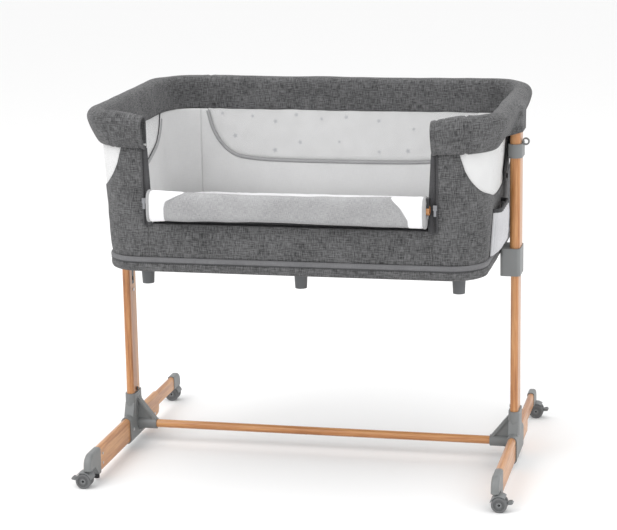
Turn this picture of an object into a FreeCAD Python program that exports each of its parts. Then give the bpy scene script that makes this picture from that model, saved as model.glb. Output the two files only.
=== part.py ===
"""Bedside sleeper crib on two telescopic posts, in millimetres.

+X runs along the crib, +Y to its back, +Z up; the origin is on the floor at the centre.
The drop side faces -Y. Pieces of the right-hand end are drawn about their own post axis with
the middle of the crib towards -X; the left-hand ones are the same pieces turned half round.
"""
import FreeCAD
import Part
import math
import os

import Sketcher
from FreeCAD import Placement, Rotation, Vector

DRIVING_SIZES = [
    # name, millimetres, what it is
    ("post_outset", 34, "post axis beyond the end of the bottom band"),
    ("fit_gap", 0.1, "gap round a piece that is fixed in another"),
    ("slide_gap", 0.35, "gap round a piece that slides in another"),
    ("rest_gap", 0.3, "gap under a piece that only rests on another"),
    # lower posts
    ("lower_width", 17, "lower post, along X"),
    ("lower_depth", 55, "lower post, along Y"),
    ("lower_wall", 1.5, "wall of the lower post"),
    ("lower_seat", 53, "height of the lower post's foot inside its bracket"),
    ("post_spare", 83, "upper post's end above the lower post's end"),
    ("rack_width", 14, "width of the notched strip"),
    ("rack_drop", 52, "lower end of the notched strip under the height sleeve"),
    ("rack_margin", 35, "upper end of the notched strip below the post's end"),
    ("rack_thickness", 2.5, "thickness of the notched strip"),
    ("notch_pitch", 25, "from one height setting to the next"),
    ("notch_height", 9, "height of a notch"),
    ("notch_width", 9, "width of a notch"),
    ("notch_depth", 1.6, "depth of a notch"),
    ("snap_rise", 6, "snap button above the bracket's collar"),
    ("snap_diameter", 8, "snap button"),
    ("snap_proud", 3, "how far the snap button stands out"),
    ("snap_flange", 2, "how much wider than the button its flange is, each side"),
    # brackets, crossbar and legs
    ("collar_top", 119.5, "top of the bracket's collar"),
    ("collar_wall", 3.5, "wall of the collar"),
    ("collar_foot", 66, "where the collar grows out of the leg socket"),
    ("shoulder_top", 100, "top of the bracket's shoulders"),
    ("shoulder_reach", 40, "half length of the shoulders"),
    ("bracket_wall", 3, "wall of the leg sockets"),
    ("bracket_reach", 60, "half length of the leg sockets"),
    ("leg_seat", 34, "where a leg ends inside its socket"),
    ("leg_width", 17, "leg, along X"),
    ("leg_height", 56, "leg, along Z"),
    ("leg_base", 15, "underside of the legs above the floor"),
    ("leg_wall", 1.5, "wall of the leg tubes"),
    ("leg_reach", 335, "outer end of the front cap"),
    ("front_cap_length", 69, "front cap, from the leg's end to the nose"),
    ("crossbar_diameter", 18, "crossbar"),
    ("crossbar_wall", 1.5, "wall of the crossbar"),
    ("crossbar_height", 46, "axis of the crossbar above the floor"),
    ("crossbar_seat", 22, "where the crossbar ends, from the post axis"),
    ("socket_reach", 54, "mouth of the crossbar socket, from the post axis"),
    ("socket_wall", 3.5, "wall of the crossbar socket"),
    ("gusset_top", 112, "top of the triangular web"),
    ("gusset_thickness", 15, "rim of the triangular web"),
    ("gusset_web", 6, "thickness of the triangular web inside its rim"),
    ("gusset_rim", 9, "depth of the web's rim at the post"),
    ("rear_extra", 12, "how much further the rear cap reaches than the front one"),
    ("rear_cap_length", 53, "rear cap, from the leg's end to the nose"),
    ("rear_bare", 131, "bare length of the drawn-out rear leg"),
    ("sleeve_round", 22, "rounding of the outer tube's lower corner"),
    ("beam_height", 34, "sliding rear leg, along Z"),
    ("beam_inset", 3, "top of the sliding rear leg below the outer tube's top"),
    ("beam_overlap", 58, "sliding rear leg inside its outer tube"),
    ("cap_floor", 38, "underside of the caps over the casters"),
    ("cap_step", 13, "length of the front cap at full leg height"),
    ("cap_plug", 22, "length of a cap's plug"),
    ("front_nose", 26, "rounding of the front cap's nose"),
    ("rear_nose", 22, "rounding of the rear cap's nose"),
    ("rear_cap_width", 16, "rear cap, along X"),
    ("pad_diameter", 12, "rubber pad under the front leg"),
    ("pad_height", 10, "rubber pad under the front leg"),
    ("rivet_diameter", 6, "rivets of the legs"),
    ("rivet_height", 1.2, "rivets of the legs"),
    ("rivet_pitch", 21, "from rivet to rivet"),
    ("rivet_margin", 13, "rivets from the end of the tube"),
    ("screw_diameter", 7, "screw heads"),
    ("screw_height", 1.6, "screw heads"),
    ("screw_reach", 43, "bracket screws, from the post axis along Y"),
    # casters
    ("stem_setback", 11, "caster stems from the noses of the caps"),
    ("stem_diameter", 10, "caster stem"),
    ("stem_length", 15, "caster stem inside its cap"),
    ("stem_gap", 0.05, "gap round the stem"),
    ("flange_diameter", 16, "collar of the stem under the cap"),
    ("wheel_diameter", 33, "caster wheel"),
    ("wheel_width", 10, "caster wheel"),
    ("wheel_gap", 0.4, "wheel to web"),
    ("wheel_round", 2.5, "rounding of the tread"),
    ("wheel_dish", 2, "depth of the ring in the wheel's face"),
    ("web_thickness", 7, "web between the wheels"),
    ("trail", 9, "wheel axis behind the stem axis"),
    ("axle_diameter", 9, "caster axle"),
    ("axle_bore", 5.5, "hole through the axle"),
    ("axle_gap", 0.05, "gap round the axle"),
    ("hood_gap", 1, "hood above the tread"),
    ("hood_wall", 2, "wall of the hood"),
    ("pedal_pivot", 21, "brake pedal's pin, from the wheel axis"),
    ("pedal_pin", 3, "diameter of the pedal's pin"),
    ("pedal_gap", 0.06, "gap round the pedal's pin"),
    ("pedal_width", 14, "brake pedal"),
    ("pedal_length", 10, "brake pedal"),
    ("pedal_thickness", 6, "brake pedal"),
    # upper posts and what is on them
    ("upper_width", 22, "upper post, along X"),
    ("upper_depth", 60, "upper post, along Y"),
    ("upper_wall", 1.25, "wall of the upper post"),
    ("sleeve_drop", 39, "underside of the height sleeve below the basket's"),
    ("sleeve_height", 59, "height sleeve"),
    ("sleeve_inboard", 30, "height sleeve towards the basket, from the post axis"),
    ("sleeve_outboard", 12.8, "height sleeve away from the basket"),
    ("sleeve_depth", 68, "height sleeve, along Y"),
    ("sleeve_corner", 8, "corners of the height sleeve"),
    ("sleeve_seat", 20, "depth of the upper post in the sleeve"),
    ("button_width", 18, "release button"),
    ("button_height", 22, "release button"),
    ("button_rise", 9, "release button above the sleeve's underside"),
    ("button_cavity", 12, "depth of the button's recess"),
    ("button_travel", 3.2, "how far the button can be pressed"),
    ("button_proud", 2.2, "how far the button stands out"),
    ("peg_diameter", 12, "peg that carries the basket's frame"),
    ("hook_drop", 48, "underside of the loop collar below the rim's band"),
    ("hook_height", 29, "loop collar"),
    ("hook_wall", 4, "wall of the loop collar"),
    ("loop_outer", 16, "outer diameter of the loop"),
    ("loop_inner", 9.5, "hole of the loop"),
    ("loop_thickness", 5, "thickness of the loop"),
    ("saddle_floor", 8, "saddle under the rim tube"),
    ("saddle_lip", 6, "how far the saddle rises round the rim tube"),
    ("saddle_plug", 25, "saddle inside the upper post"),
    # rim
    ("rim_height", 796, "top of the rim above the floor"),
    ("rim_depth", 612, "rim, front to back"),
    ("rim_corner", 110, "outer corners of the rim, in plan"),
    ("band_height", 77, "padded band of the rim"),
    ("band_thickness", 40, "padded band of the rim"),
    ("rim_inset", 10, "line of the rim inside the post axis"),
    ("bulge_reach", 16.5, "how far the band stands out round the post, from the post axis"),
    ("bulge_depth", 88, "width of that bulge, along Y"),
    ("bulge_rise", 8, "underside of the bulge above the band's"),
    ("bulge_height", 58, "height of the bulge"),
    ("band_round", 17, "rounding of the band's top"),
    ("band_foot", 14, "width of the band where it meets the wall"),
    ("cover_wall", 4, "fabric and padding of the band"),
    ("rim_tube", 22, "rim tube"),
    ("rim_tube_wall", 1.2, "wall of the rim tube"),
    ("stub_length", 124, "front stub of the rim, from the line of its end"),
    ("tube_setback", 26, "rim tube's ends inside the band's ends"),
    ("post_slot_gap", 1, "slot in the band round the upper post"),
    # basket
    ("basket_bottom", 458, "underside of the basket"),
    ("base_length", 792, "bottom band, along X"),
    ("base_depth", 540, "bottom band, along Y"),
    ("base_corner", 75, "corners of the bottom band"),
    ("base_band", 21, "height of the bottom band"),
    ("base_wall", 8, "thickness of the bottom band"),
    ("base_floor", 2, "fabric under the basket"),
    ("piping_height", 11, "piping above the bottom band"),
    ("piping_proud", 2, "how far the piping stands out"),
    ("wall_thickness", 8, "padded fabric walls"),
    ("wall_inset", 2, "wall's foot behind the bottom band's face"),
    ("end_offset", 8, "end walls' top inside the line of the rim"),
    ("side_offset", 14, "front and back walls' top inside the line of the rim"),
    ("corner_offset", 12, "walls' corners inside the corners of the rim"),
    ("front_wall_rise", 103, "top of the low front wall above the basket's underside"),
    ("back_window_margin", 18, "back window from the back wall's seams"),
    ("back_window_depth", 111, "how far the back window dips below the rim"),
    ("end_window_front", 270.5, "end windows' front end, from the post axis"),
    ("end_window_rear", 204, "end windows' rear end, from the post axis"),
    ("end_window_depth", 107, "how far the end windows dip below the rim"),
    ("strip_front", 14, "upright strip across the end windows, before the post axis"),
    ("strip_rear", 52, "upright strip across the end windows, behind the post axis"),
    ("mesh_depth", 3, "window mesh behind the wall's face"),
    ("mesh_thickness", 2, "window mesh"),
    ("frame_tube", 19, "tube of the bottom frame"),
    ("frame_tube_wall", 1.2, "wall of the bottom frame's tube"),
    ("board_thickness", 6, "board under the mattress"),
    ("mattress_thickness", 42, "mattress at its edge"),
    ("mattress_crown", 7, "how much higher the mattress is in its middle"),
    ("mattress_gap", 4, "mattress to wall"),
    ("mattress_corner", 62, "corners of the mattress"),
    ("foot_top", 30, "diameter of a basket foot at its top"),
    ("foot_bottom", 25, "diameter of a basket foot at its bottom"),
    ("foot_height", 47, "basket feet"),
    ("foot_inset", 63, "basket feet, from the end of the bottom band"),
    ("foot_setback", 104, "basket feet, from the front of the bottom band"),
    ("pocket_front", 172, "mesh pocket's front edge, before the post axis"),
    ("pocket_rear", 42, "mesh pocket's rear edge, before the post axis"),
    ("pocket_rise", 132, "top of the mesh pocket above the basket's underside"),
    ("pocket_depth", 22, "how far the mesh pocket stands out from the wall"),
    ("pocket_net", 2, "thickness of the mesh pocket"),
    # drop side
    ("rail_height", 606.5, "axis of the lowered rail above the floor"),
    ("rail_diameter", 19, "drop rail"),
    ("rail_wall", 1.5, "wall of the drop rail"),
    ("rail_clearance", 3.5, "rail's end to the band's end"),
    ("panel_clearance", 10, "panel's end to the band's end"),
    ("panel_top", 27.5, "panel above the rail's axis"),
    ("panel_bottom", 37, "panel below the rail's axis"),
    ("panel_thickness", 38, "padded panel"),
    ("panel_round", 15, "edges of the panel"),
    ("lock_length", 6, "rail lock"),
    ("lock_width", 16, "rail lock"),
    ("lock_height", 25, "rail lock above the rail's axis"),
    ("fold_height", 24, "folded mesh behind the lowered rail"),
    ("fold_depth", 12, "folded mesh behind the lowered rail"),
    ("tape_width", 6, "zip tape"),
    ("tape_margin", 3, "zip tape from the band's end"),
    ("tape_depth", 3.5, "how far the zip tape stands out"),
    ("slider_width", 8, "zip slider"),
    ("slider_depth", 3.6, "zip slider"),
    ("slider_height", 11, "zip slider"),
    ("slider_drop", 2, "underside of the zip slider below the rail's axis"),
    ("pull_width", 5, "zip pull"),
    ("pull_length", 17, "zip pull"),
]

doc = FreeCAD.newDocument("BedsideSleeper")
sheet = doc.addObject("Spreadsheet::Sheet", "Sizes")


class Size:
    """A number together with the expression that ties it to the sheet."""

    def __init__(self, number, text):
        self.number = float(number)
        self.text = text

    def join(self, other, sign, turned=False):
        other = other if isinstance(other, Size) else Size(other, "%r" % float(other))
        first, second = (other, self) if turned else (self, other)
        answers = {
            "+": first.number + second.number,
            "-": first.number - second.number,
            "*": first.number * second.number,
        }
        if sign == "/":
            answers["/"] = first.number / second.number
        return Size(answers[sign], "(%s %s %s)" % (first.text, sign, second.text))

    def __add__(self, other):
        return self.join(other, "+")

    def __radd__(self, other):
        return self.join(other, "+", True)

    def __sub__(self, other):
        return self.join(other, "-")

    def __rsub__(self, other):
        return self.join(other, "-", True)

    def __mul__(self, other):
        return self.join(other, "*")

    def __rmul__(self, other):
        return self.join(other, "*", True)

    def __truediv__(self, other):
        return self.join(other, "/")

    def __neg__(self):
        return self.join(-1, "*")


class Sheet:
    """The driving sizes, one attribute each."""


S = Sheet()
for row, (name, millimetres, meaning) in enumerate(DRIVING_SIZES, start=1):
    sheet.set("A%d" % row, name)
    sheet.set("B%d" % row, str(millimetres))
    sheet.set("C%d" % row, meaning)
    sheet.setAlias("B%d" % row, name)
    setattr(S, name, Size(millimetres, "Sizes." + name))
doc.recompute()


def number(value):
    """The plain number of a size."""
    return value.number if isinstance(value, Size) else float(value)


def bind(feature, attribute, value):
    """Set a property, tied to the sheet where the value comes from it."""
    if isinstance(value, Size):
        feature.setExpression(attribute, value.text)
    else:
        setattr(feature, attribute, value)


def place(feature, x=0, y=0, z=0, turn=0, axis=Vector(0, 0, 1)):
    """Put a finished piece at x, y, z, turned about an axis through its own origin."""
    spot = Vector(number(x), number(y), number(z))
    feature.Placement = Placement(spot, Rotation(axis, turn))
    for letter, value in zip("xyz", (x, y, z)):
        if isinstance(value, Size):
            feature.setExpression("Placement.Base." + letter, value.text)
    return feature


# ---------------------------------------------------------------- sketches


def new_body(label):
    body = doc.addObject("PartDesign::Body", label)
    body.Label = label
    return body


def sketch_on(body, role, offset=0):
    """A sketch on one of the body's own planes, moved along the plane's normal."""
    sketch = body.newObject("Sketcher::SketchObject", "Outline")
    plane = next(p for p in body.Origin.OriginFeatures if p.Role == role)
    sketch.AttachmentSupport = [(plane, "")]
    sketch.MapMode = "FlatFace"
    sketch.AttachmentOffset = Placement(Vector(0, 0, number(offset)), Rotation())
    if isinstance(offset, Size):
        sketch.setExpression("AttachmentOffset.Base.z", offset.text)
    return sketch


def loose_sketch(label, z):
    """A level sketch outside any body."""
    return place(doc.addObject("Sketcher::SketchObject", label), z=z)


def fix(sketch, geometry, point, x=None, y=None):
    """Tie a point of the sketch to its place from the origin."""
    for kind, axis, value in (("DistanceX", -2, x), ("DistanceY", -1, y)):
        if value is None:
            continue
        if number(value) == 0:
            sketch.addConstraint(Sketcher.Constraint("PointOnObject", geometry, point, axis))
            continue
        index = sketch.addConstraint(
            Sketcher.Constraint(kind, -1, 1, geometry, point, number(value)))
        if isinstance(value, Size):
            sketch.setExpression("Constraints[%d]" % index, value.text)


def measure(sketch, kind, geometry, value):
    """Tie a radius or diameter of the sketch to its size."""
    index = sketch.addConstraint(Sketcher.Constraint(kind, geometry, number(value)))
    if isinstance(value, Size):
        sketch.setExpression("Constraints[%d]" % index, value.text)


def circle(sketch, diameter, x=0, y=0):
    spot = Vector(number(x), number(y), 0)
    ring = sketch.addGeometry(Part.Circle(spot, Vector(0, 0, 1), number(diameter) / 2), False)
    fix(sketch, ring, 3, x, y)
    measure(sketch, "Diameter", ring, diameter)


def outline(sketch, corners):
    """A closed outline of straight lines through the corners."""
    count = len(corners)
    spots = [Vector(number(x), number(y), 0) for x, y in corners]
    lines = [
        sketch.addGeometry(Part.LineSegment(spots[i], spots[(i + 1) % count]), False)
        for i in range(count)]
    for i, line in enumerate(lines):
        following = lines[(i + 1) % count]
        sketch.addConstraint(Sketcher.Constraint("Coincident", line, 2, following, 1))
    for line, (x, y) in zip(lines, corners):
        fix(sketch, line, 1, x, y)


def rectangle(sketch, left, right, low, high):
    outline(sketch, [(left, low), (right, low), (right, high), (left, high)])


def slot(sketch, width, height, y=0):
    """An upright flat oval, round at both ends, centred on x = 0."""
    radius = number(width) / 2
    reach = (number(height) - number(width)) / 2
    middle = number(y)
    spots = {
        "right": (Vector(radius, middle - reach, 0), Vector(radius, middle + reach, 0)),
        "left": (Vector(-radius, middle + reach, 0), Vector(-radius, middle - reach, 0)),
    }
    upper = Part.Circle(Vector(0, middle + reach, 0), Vector(0, 0, 1), radius)
    lower = Part.Circle(Vector(0, middle - reach, 0), Vector(0, 0, 1), radius)
    right = sketch.addGeometry(Part.LineSegment(*spots["right"]), False)
    top = sketch.addGeometry(Part.ArcOfCircle(upper, 0, math.pi), False)
    left = sketch.addGeometry(Part.LineSegment(*spots["left"]), False)
    bottom = sketch.addGeometry(Part.ArcOfCircle(lower, math.pi, 2 * math.pi), False)
    ring = [right, top, left, bottom]
    for i, piece in enumerate(ring):
        following = ring[(i + 1) % 4]
        sketch.addConstraint(Sketcher.Constraint("Tangent", piece, 2, following, 1))
    sketch.addConstraint(Sketcher.Constraint("Vertical", right))
    half = (height - width) / 2
    fix(sketch, top, 3, 0, y + half)
    fix(sketch, bottom, 3, 0, y - half)
    measure(sketch, "Radius", top, width / 2)


def rounded_path(sketch, corners, radius, closed=True):
    """Level and upright lines through the corners, joined by equal tangent arcs.

    A closed path starts and ends on its first side; an open one at its end corners.
    """
    spots = [Vector(number(x), number(y), 0) for x, y in corners]
    count = len(spots)
    bend = number(radius)
    side_count = count if closed else count - 1
    lines = []
    for i in range(side_count):
        start, end = spots[i], spots[(i + 1) % count]
        along = (end - start).normalize()
        if closed or i > 0:
            start = start + along * bend
        if closed or i < side_count - 1:
            end = end - along * bend
        lines.append(sketch.addGeometry(Part.LineSegment(start, end), False))
    ring = []
    for i, line in enumerate(lines):
        ring.append(line)
        if not closed and i == side_count - 1:
            break
        corner = spots[(i + 1) % count]
        before = (corner - spots[i]).normalize()
        after = (spots[(i + 2) % count] - corner).normalize()
        centre = corner - before * bend + after * bend
        turn = before.x * after.y - before.y * after.x
        first = math.atan2(-after.y, -after.x)
        last = math.atan2(before.y, before.x)
        if turn < 0:
            first, last = last, first
        wheel = Part.Circle(centre, Vector(0, 0, 1), bend)
        arc = sketch.addGeometry(Part.ArcOfCircle(wheel, first, last), False)
        ring.append((arc, turn > 0))
    joints = len(ring) if closed else len(ring) - 1
    for i in range(joints):
        piece, following = ring[i], ring[(i + 1) % len(ring)]
        end = 2 if not isinstance(piece, tuple) or piece[1] else 1
        start = 1 if not isinstance(following, tuple) or following[1] else 2
        one = piece[0] if isinstance(piece, tuple) else piece
        two = following[0] if isinstance(following, tuple) else following
        sketch.addConstraint(Sketcher.Constraint("Tangent", one, end, two, start))
    arcs = [piece[0] for piece in ring if isinstance(piece, tuple)]
    for arc in arcs[1:]:
        sketch.addConstraint(Sketcher.Constraint("Equal", arcs[0], arc))
    measure(sketch, "Radius", arcs[0], radius)
    for i, line in enumerate(lines):
        start, end = corners[i], corners[(i + 1) % count]
        level = abs(spots[i].y - spots[(i + 1) % count].y) < 1e-9
        sketch.addConstraint(Sketcher.Constraint("Horizontal" if level else "Vertical", line))
        fix(sketch, line, 1, None if level else start[0], start[1] if level else None)
        if not closed and i == 0:
            fix(sketch, line, 1, start[0] if level else None, None if level else start[1])
        if not closed and i == side_count - 1:
            fix(sketch, line, 2, end[0] if level else None, None if level else end[1])


def rounded_rectangle(sketch, half_length, half_depth, radius):
    rounded_path(sketch, [
        (half_length, -half_depth),
        (half_length, half_depth),
        (-half_length, half_depth),
        (-half_length, -half_depth),
    ], radius)


def sector(sketch, x, y, inner, outer, first, last):
    """A piece of a ring between two angles in degrees."""
    centre = Vector(number(x), number(y), 0)
    start, end = math.radians(first), math.radians(last)
    arcs = []
    for radius in (inner, outer):
        wheel = Part.Circle(centre, Vector(0, 0, 1), number(radius))
        arcs.append(sketch.addGeometry(Part.ArcOfCircle(wheel, start, end), False))
    sides = []
    for angle in (start, end):
        out = Vector(math.cos(angle), math.sin(angle), 0)
        ends = (centre + out * number(inner), centre + out * number(outer))
        sides.append(sketch.addGeometry(Part.LineSegment(*ends), False))
    for side, tip in zip(sides, (1, 2)):
        sketch.addConstraint(Sketcher.Constraint("Coincident", side, 1, arcs[0], tip))
        sketch.addConstraint(Sketcher.Constraint("Coincident", side, 2, arcs[1], tip))
        angle = first if tip == 1 else last
        sketch.addConstraint(Sketcher.Constraint("Angle", side, math.radians(angle)))
    for arc, radius in zip(arcs, (inner, outer)):
        fix(sketch, arc, 3, x, y)
        measure(sketch, "Radius", arc, radius)


# ---------------------------------------------------------------- features


def pad(body, sketch, length, both=False, back=False):
    feature = body.newObject("PartDesign::Pad", "Pad")
    feature.Profile = sketch
    feature.SideType = "Symmetric" if both else "One side"
    feature.Reversed = back
    bind(feature, "Length", length)
    return feature


def pocket(body, sketch, length=None, both=False, back=False):
    """Cut against the sketch's normal, or along it with back; through all with no length."""
    feature = body.newObject("PartDesign::Pocket", "Pocket")
    feature.Profile = sketch
    feature.SideType = "Symmetric" if both else "One side"
    feature.Reversed = back
    if length is None:
        feature.Type = "ThroughAll"
    else:
        bind(feature, "Length", length)
    return feature


def pipe(body, profile, path, kind="PartDesign::AdditivePipe"):
    feature = body.newObject(kind, "Pipe")
    feature.Profile = profile
    feature.Spine = path
    return feature


def round_edges(body, radius, wanted):
    """Round those edges of the body that the test picks."""
    doc.recompute()
    tip = body.Tip
    names = [
        "Edge%d" % (i + 1) for i, edge in enumerate(tip.Shape.Edges) if wanted(edge)]
    feature = body.newObject("PartDesign::Fillet", "Fillet")
    feature.Base = (tip, names)
    bind(feature, "Radius", radius)
    return feature


def corner_cut(body, y, z, radius, out, up):
    """Round a corner of a piece seen along X: y, z is the corner, out and up are signs."""
    beyond = 2
    sketch = sketch_on(body, "YZ_Plane")
    span = number(radius)
    centre = Vector(number(y) - out * span, number(z) - up * span, 0)
    side = Vector(number(y), centre.y, 0)
    end = Vector(centre.x, number(z), 0)
    wheel = Part.Circle(centre, Vector(0, 0, 1), span)
    angles = sorted([0.0 if out > 0 else math.pi, up * math.pi / 2])
    if out < 0 and up < 0:
        angles = [math.pi, 1.5 * math.pi]
    arc = sketch.addGeometry(Part.ArcOfCircle(wheel, *angles), False)
    level_first = (out > 0) != (up > 0)
    far_y = number(y) + out * beyond
    far_z = number(z) + up * beyond
    spots = [side, Vector(far_y, side.y, 0), Vector(far_y, far_z, 0), Vector(end.x, far_z, 0), end]
    lines = [
        sketch.addGeometry(Part.LineSegment(a, b), False) for a, b in zip(spots, spots[1:])]
    at_side, at_end = (2, 1) if level_first else (1, 2)
    sketch.addConstraint(Sketcher.Constraint("Coincident", lines[0], 1, arc, at_side))
    sketch.addConstraint(Sketcher.Constraint("Coincident", lines[3], 2, arc, at_end))
    for a, b in zip(lines, lines[1:]):
        sketch.addConstraint(Sketcher.Constraint("Coincident", a, 2, b, 1))
    fix(sketch, lines[0], 1, y, z - up * radius)
    fix(sketch, lines[0], 2, y + out * beyond, z - up * radius)
    fix(sketch, lines[2], 1, y + out * beyond, z + up * beyond)
    fix(sketch, lines[2], 2, y - out * radius, z + up * beyond)
    fix(sketch, lines[3], 2, y - out * radius, z)
    measure(sketch, "Radius", arc, radius)
    return pocket(body, sketch, both=True)


def box(label, low, high):
    """A plain block from its low corner to its high corner."""
    block = doc.addObject("Part::Box", label)
    for attribute, start, end in zip(("Length", "Width", "Height"), low, high):
        bind(block, attribute, end - start)
    return place(block, *low)


def cylinder(label, diameter, height, x=0, y=0, z=0, axis=None, turn=0):
    rod = doc.addObject("Part::Cylinder", label)
    bind(rod, "Radius", diameter / 2)
    bind(rod, "Height", height)
    return place(rod, x, y, z, turn, axis or Vector(0, 0, 1))


def cut(label, base, tool):
    feature = doc.addObject("Part::Cut", label)
    feature.Base = base
    feature.Tool = tool
    return feature


def common(label, base, tool):
    feature = doc.addObject("Part::Common", label)
    feature.Base = base
    feature.Tool = tool
    return feature


def fuse(label, shapes):
    feature = doc.addObject("Part::MultiFuse", label)
    feature.Shapes = shapes
    return feature


def group(label, pieces):
    """Separate solids that share one node."""
    feature = doc.addObject("Part::Compound", label)
    feature.Links = pieces
    return feature


NODES = {}


def node(name, feature):
    """Name a finished piece; the name is its label and its file's name."""
    feature.Label = name
    NODES[name] = feature
    return feature


SIDES = (("left", -1, 180), ("right", 1, 0))
BASE_HALF_LENGTH = S.base_length / 2
BASE_HALF_DEPTH = S.base_depth / 2
POST = BASE_HALF_LENGTH + S.post_outset
LEG_TOP = S.leg_base + S.leg_height
LEG_MIDDLE = S.leg_base + S.leg_height / 2
RIM_TUBE_HEIGHT = S.rim_height - S.cover_wall - S.rest_gap - S.rim_tube / 2
UPPER_TOP = RIM_TUBE_HEIGHT - S.rim_tube / 2 - S.saddle_floor
LOWER_TOP = UPPER_TOP - S.post_spare
BAND_FOOT = S.rim_height - S.band_height
SLEEVE_BOTTOM = S.basket_bottom - S.sleeve_drop
SLEEVE_TOP = SLEEVE_BOTTOM + S.sleeve_height


def both_ends(name, build, y=0):
    """The same piece at the left-hand and right-hand post."""
    for side, sign, turn in SIDES:
        label = name % side
        node(label, place(build(label), POST * sign, y * (-1 if turn else 1), 0, turn))


def placed_pair(name, build):
    """The same piece at both posts, as separate solids of one node."""
    pieces = []
    for side, sign, turn in SIDES:
        pieces.append(place(build("%s_%s" % (name, side)), POST * sign, 0, 0, turn))
    return node(name, group(name + "_pair", pieces))


# ---------------------------------------------------------------- lower posts

SNAP_HEIGHT = S.collar_top + S.snap_rise
LOWER_FACE = S.lower_width / 2
RACK_BOTTOM = SLEEVE_BOTTOM - S.rack_drop
RACK_TOP = LOWER_TOP - S.rack_margin


def lower_post(label):
    """Flat-oval tube with a slot for its notched strip and a hole for its snap button."""
    body = new_body(label)
    section = sketch_on(body, "XY_Plane", S.lower_seat)
    slot(section, S.lower_width, S.lower_depth)
    slot(section, S.lower_width - 2 * S.lower_wall, S.lower_depth - 2 * S.lower_wall)
    pad(body, section, LOWER_TOP - S.lower_seat)
    strip = sketch_on(body, "YZ_Plane")
    half = S.rack_width / 2 + S.fit_gap
    rectangle(strip, -half, half, RACK_BOTTOM - S.fit_gap, RACK_TOP + S.fit_gap)
    pocket(body, strip)
    hole = sketch_on(body, "YZ_Plane")
    circle(hole, S.snap_diameter + 2 * S.stem_gap, 0, SNAP_HEIGHT)
    pocket(body, hole)
    return body


def height_rack(label):
    """Notched strip, flush with the inner face of the post."""
    half = S.rack_width / 2
    strip = box(label + "_strip", (-LOWER_FACE, -half, RACK_BOTTOM),
                (-LOWER_FACE + S.rack_thickness, half, RACK_TOP))
    spare = RACK_TOP - RACK_BOTTOM
    count = int(number(spare) // number(S.notch_pitch))
    first = RACK_BOTTOM + (S.notch_pitch - S.notch_height) / 2
    notches = []
    for i in range(count):
        low = first + S.notch_pitch * i
        notches.append(box(
            "%s_notch%d" % (label, i),
            (-LOWER_FACE - 1, -S.notch_width / 2, low),
            (-LOWER_FACE + S.notch_depth, S.notch_width / 2, low + S.notch_height)))
    return cut(label, strip, fuse(label + "_notches", notches))


def post_button(label):
    """Snap button that holds the post in its bracket, with the flange inside the tube."""
    body = new_body(label)
    inner = -LOWER_FACE + S.lower_wall + S.rest_gap
    shank = sketch_on(body, "YZ_Plane", -LOWER_FACE - S.snap_proud)
    circle(shank, S.snap_diameter, 0, SNAP_HEIGHT)
    pad(body, shank, S.snap_proud + S.lower_wall + S.rest_gap)
    flange = sketch_on(body, "YZ_Plane", inner)
    circle(flange, S.snap_diameter + 2 * S.snap_flange, 0, SNAP_HEIGHT)
    pad(body, flange, S.lower_wall)
    return body


both_ends("lower_post_%s", lower_post)
placed_pair("height_racks", height_rack)
both_ends("post_button_%s", post_button)

# ---------------------------------------------------------------- brackets and crossbar


def bracket(label):
    """Moulded bracket: two leg sockets, a collar for the post and a socket for the crossbar."""
    body = new_body(label)
    sockets = sketch_on(body, "XZ_Plane")
    slot(sockets, S.leg_width + 2 * S.bracket_wall, S.leg_height + 2 * S.bracket_wall, LEG_MIDDLE)
    pad(body, sockets, 2 * S.bracket_reach, both=True)
    collar = sketch_on(body, "XY_Plane", S.collar_foot)
    collar_half = S.lower_depth / 2 + S.collar_wall
    slot(collar, S.lower_width + 2 * S.collar_wall, S.lower_depth + 2 * S.collar_wall)
    pad(body, collar, S.collar_top - S.collar_foot)
    shoulders = sketch_on(body, "YZ_Plane")
    outline(shoulders, [
        (-S.shoulder_reach, S.collar_foot),
        (S.shoulder_reach, S.collar_foot),
        (S.shoulder_reach, LEG_TOP),
        (collar_half - S.collar_wall, S.shoulder_top),
        (-collar_half + S.collar_wall, S.shoulder_top),
        (-S.shoulder_reach, LEG_TOP),
    ])
    pad(body, shoulders, S.lower_width + S.collar_wall, both=True)
    for thickness, foot in (
            (S.gusset_thickness, S.gusset_top - S.gusset_rim),
            (S.gusset_web, S.crossbar_height - S.crossbar_diameter)):
        gusset = sketch_on(body, "XZ_Plane")
        outline(gusset, [
            (-LOWER_FACE, S.gusset_top),
            (-S.socket_reach, S.crossbar_height + S.crossbar_diameter / 2),
            (-S.socket_reach, S.crossbar_height),
            (-LOWER_FACE, foot),
        ])
        pad(body, gusset, thickness, both=True)
    socket = sketch_on(body, "YZ_Plane", -S.socket_reach)
    circle(socket, S.crossbar_diameter + 2 * S.socket_wall, 0, S.crossbar_height)
    pad(body, socket, S.socket_reach - LOWER_FACE)
    bore = sketch_on(body, "XY_Plane", S.lower_seat)
    slot(bore, S.lower_width + 2 * S.fit_gap, S.lower_depth + 2 * S.fit_gap)
    pocket(body, bore, back=True)
    for back in (False, True):
        leg = sketch_on(body, "XZ_Plane", -S.leg_seat if not back else S.leg_seat)
        slot(leg, S.leg_width + 2 * S.fit_gap, S.leg_height + 2 * S.fit_gap, LEG_MIDDLE)
        pocket(body, leg, back=back)
    bar = sketch_on(body, "YZ_Plane", -S.crossbar_seat)
    circle(bar, S.crossbar_diameter + 2 * S.fit_gap, 0, S.crossbar_height)
    pocket(body, bar)
    return body


both_ends("bracket_%s", bracket)

crossbar = new_body("crossbar")
bar_section = sketch_on(crossbar, "YZ_Plane")
circle(bar_section, S.crossbar_diameter, 0, S.crossbar_height)
circle(bar_section, S.crossbar_diameter - 2 * S.crossbar_wall, 0, S.crossbar_height)
pad(crossbar, bar_section, 2 * (POST - S.crossbar_seat), both=True)
node("crossbar", crossbar)

# ---------------------------------------------------------------- legs

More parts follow.
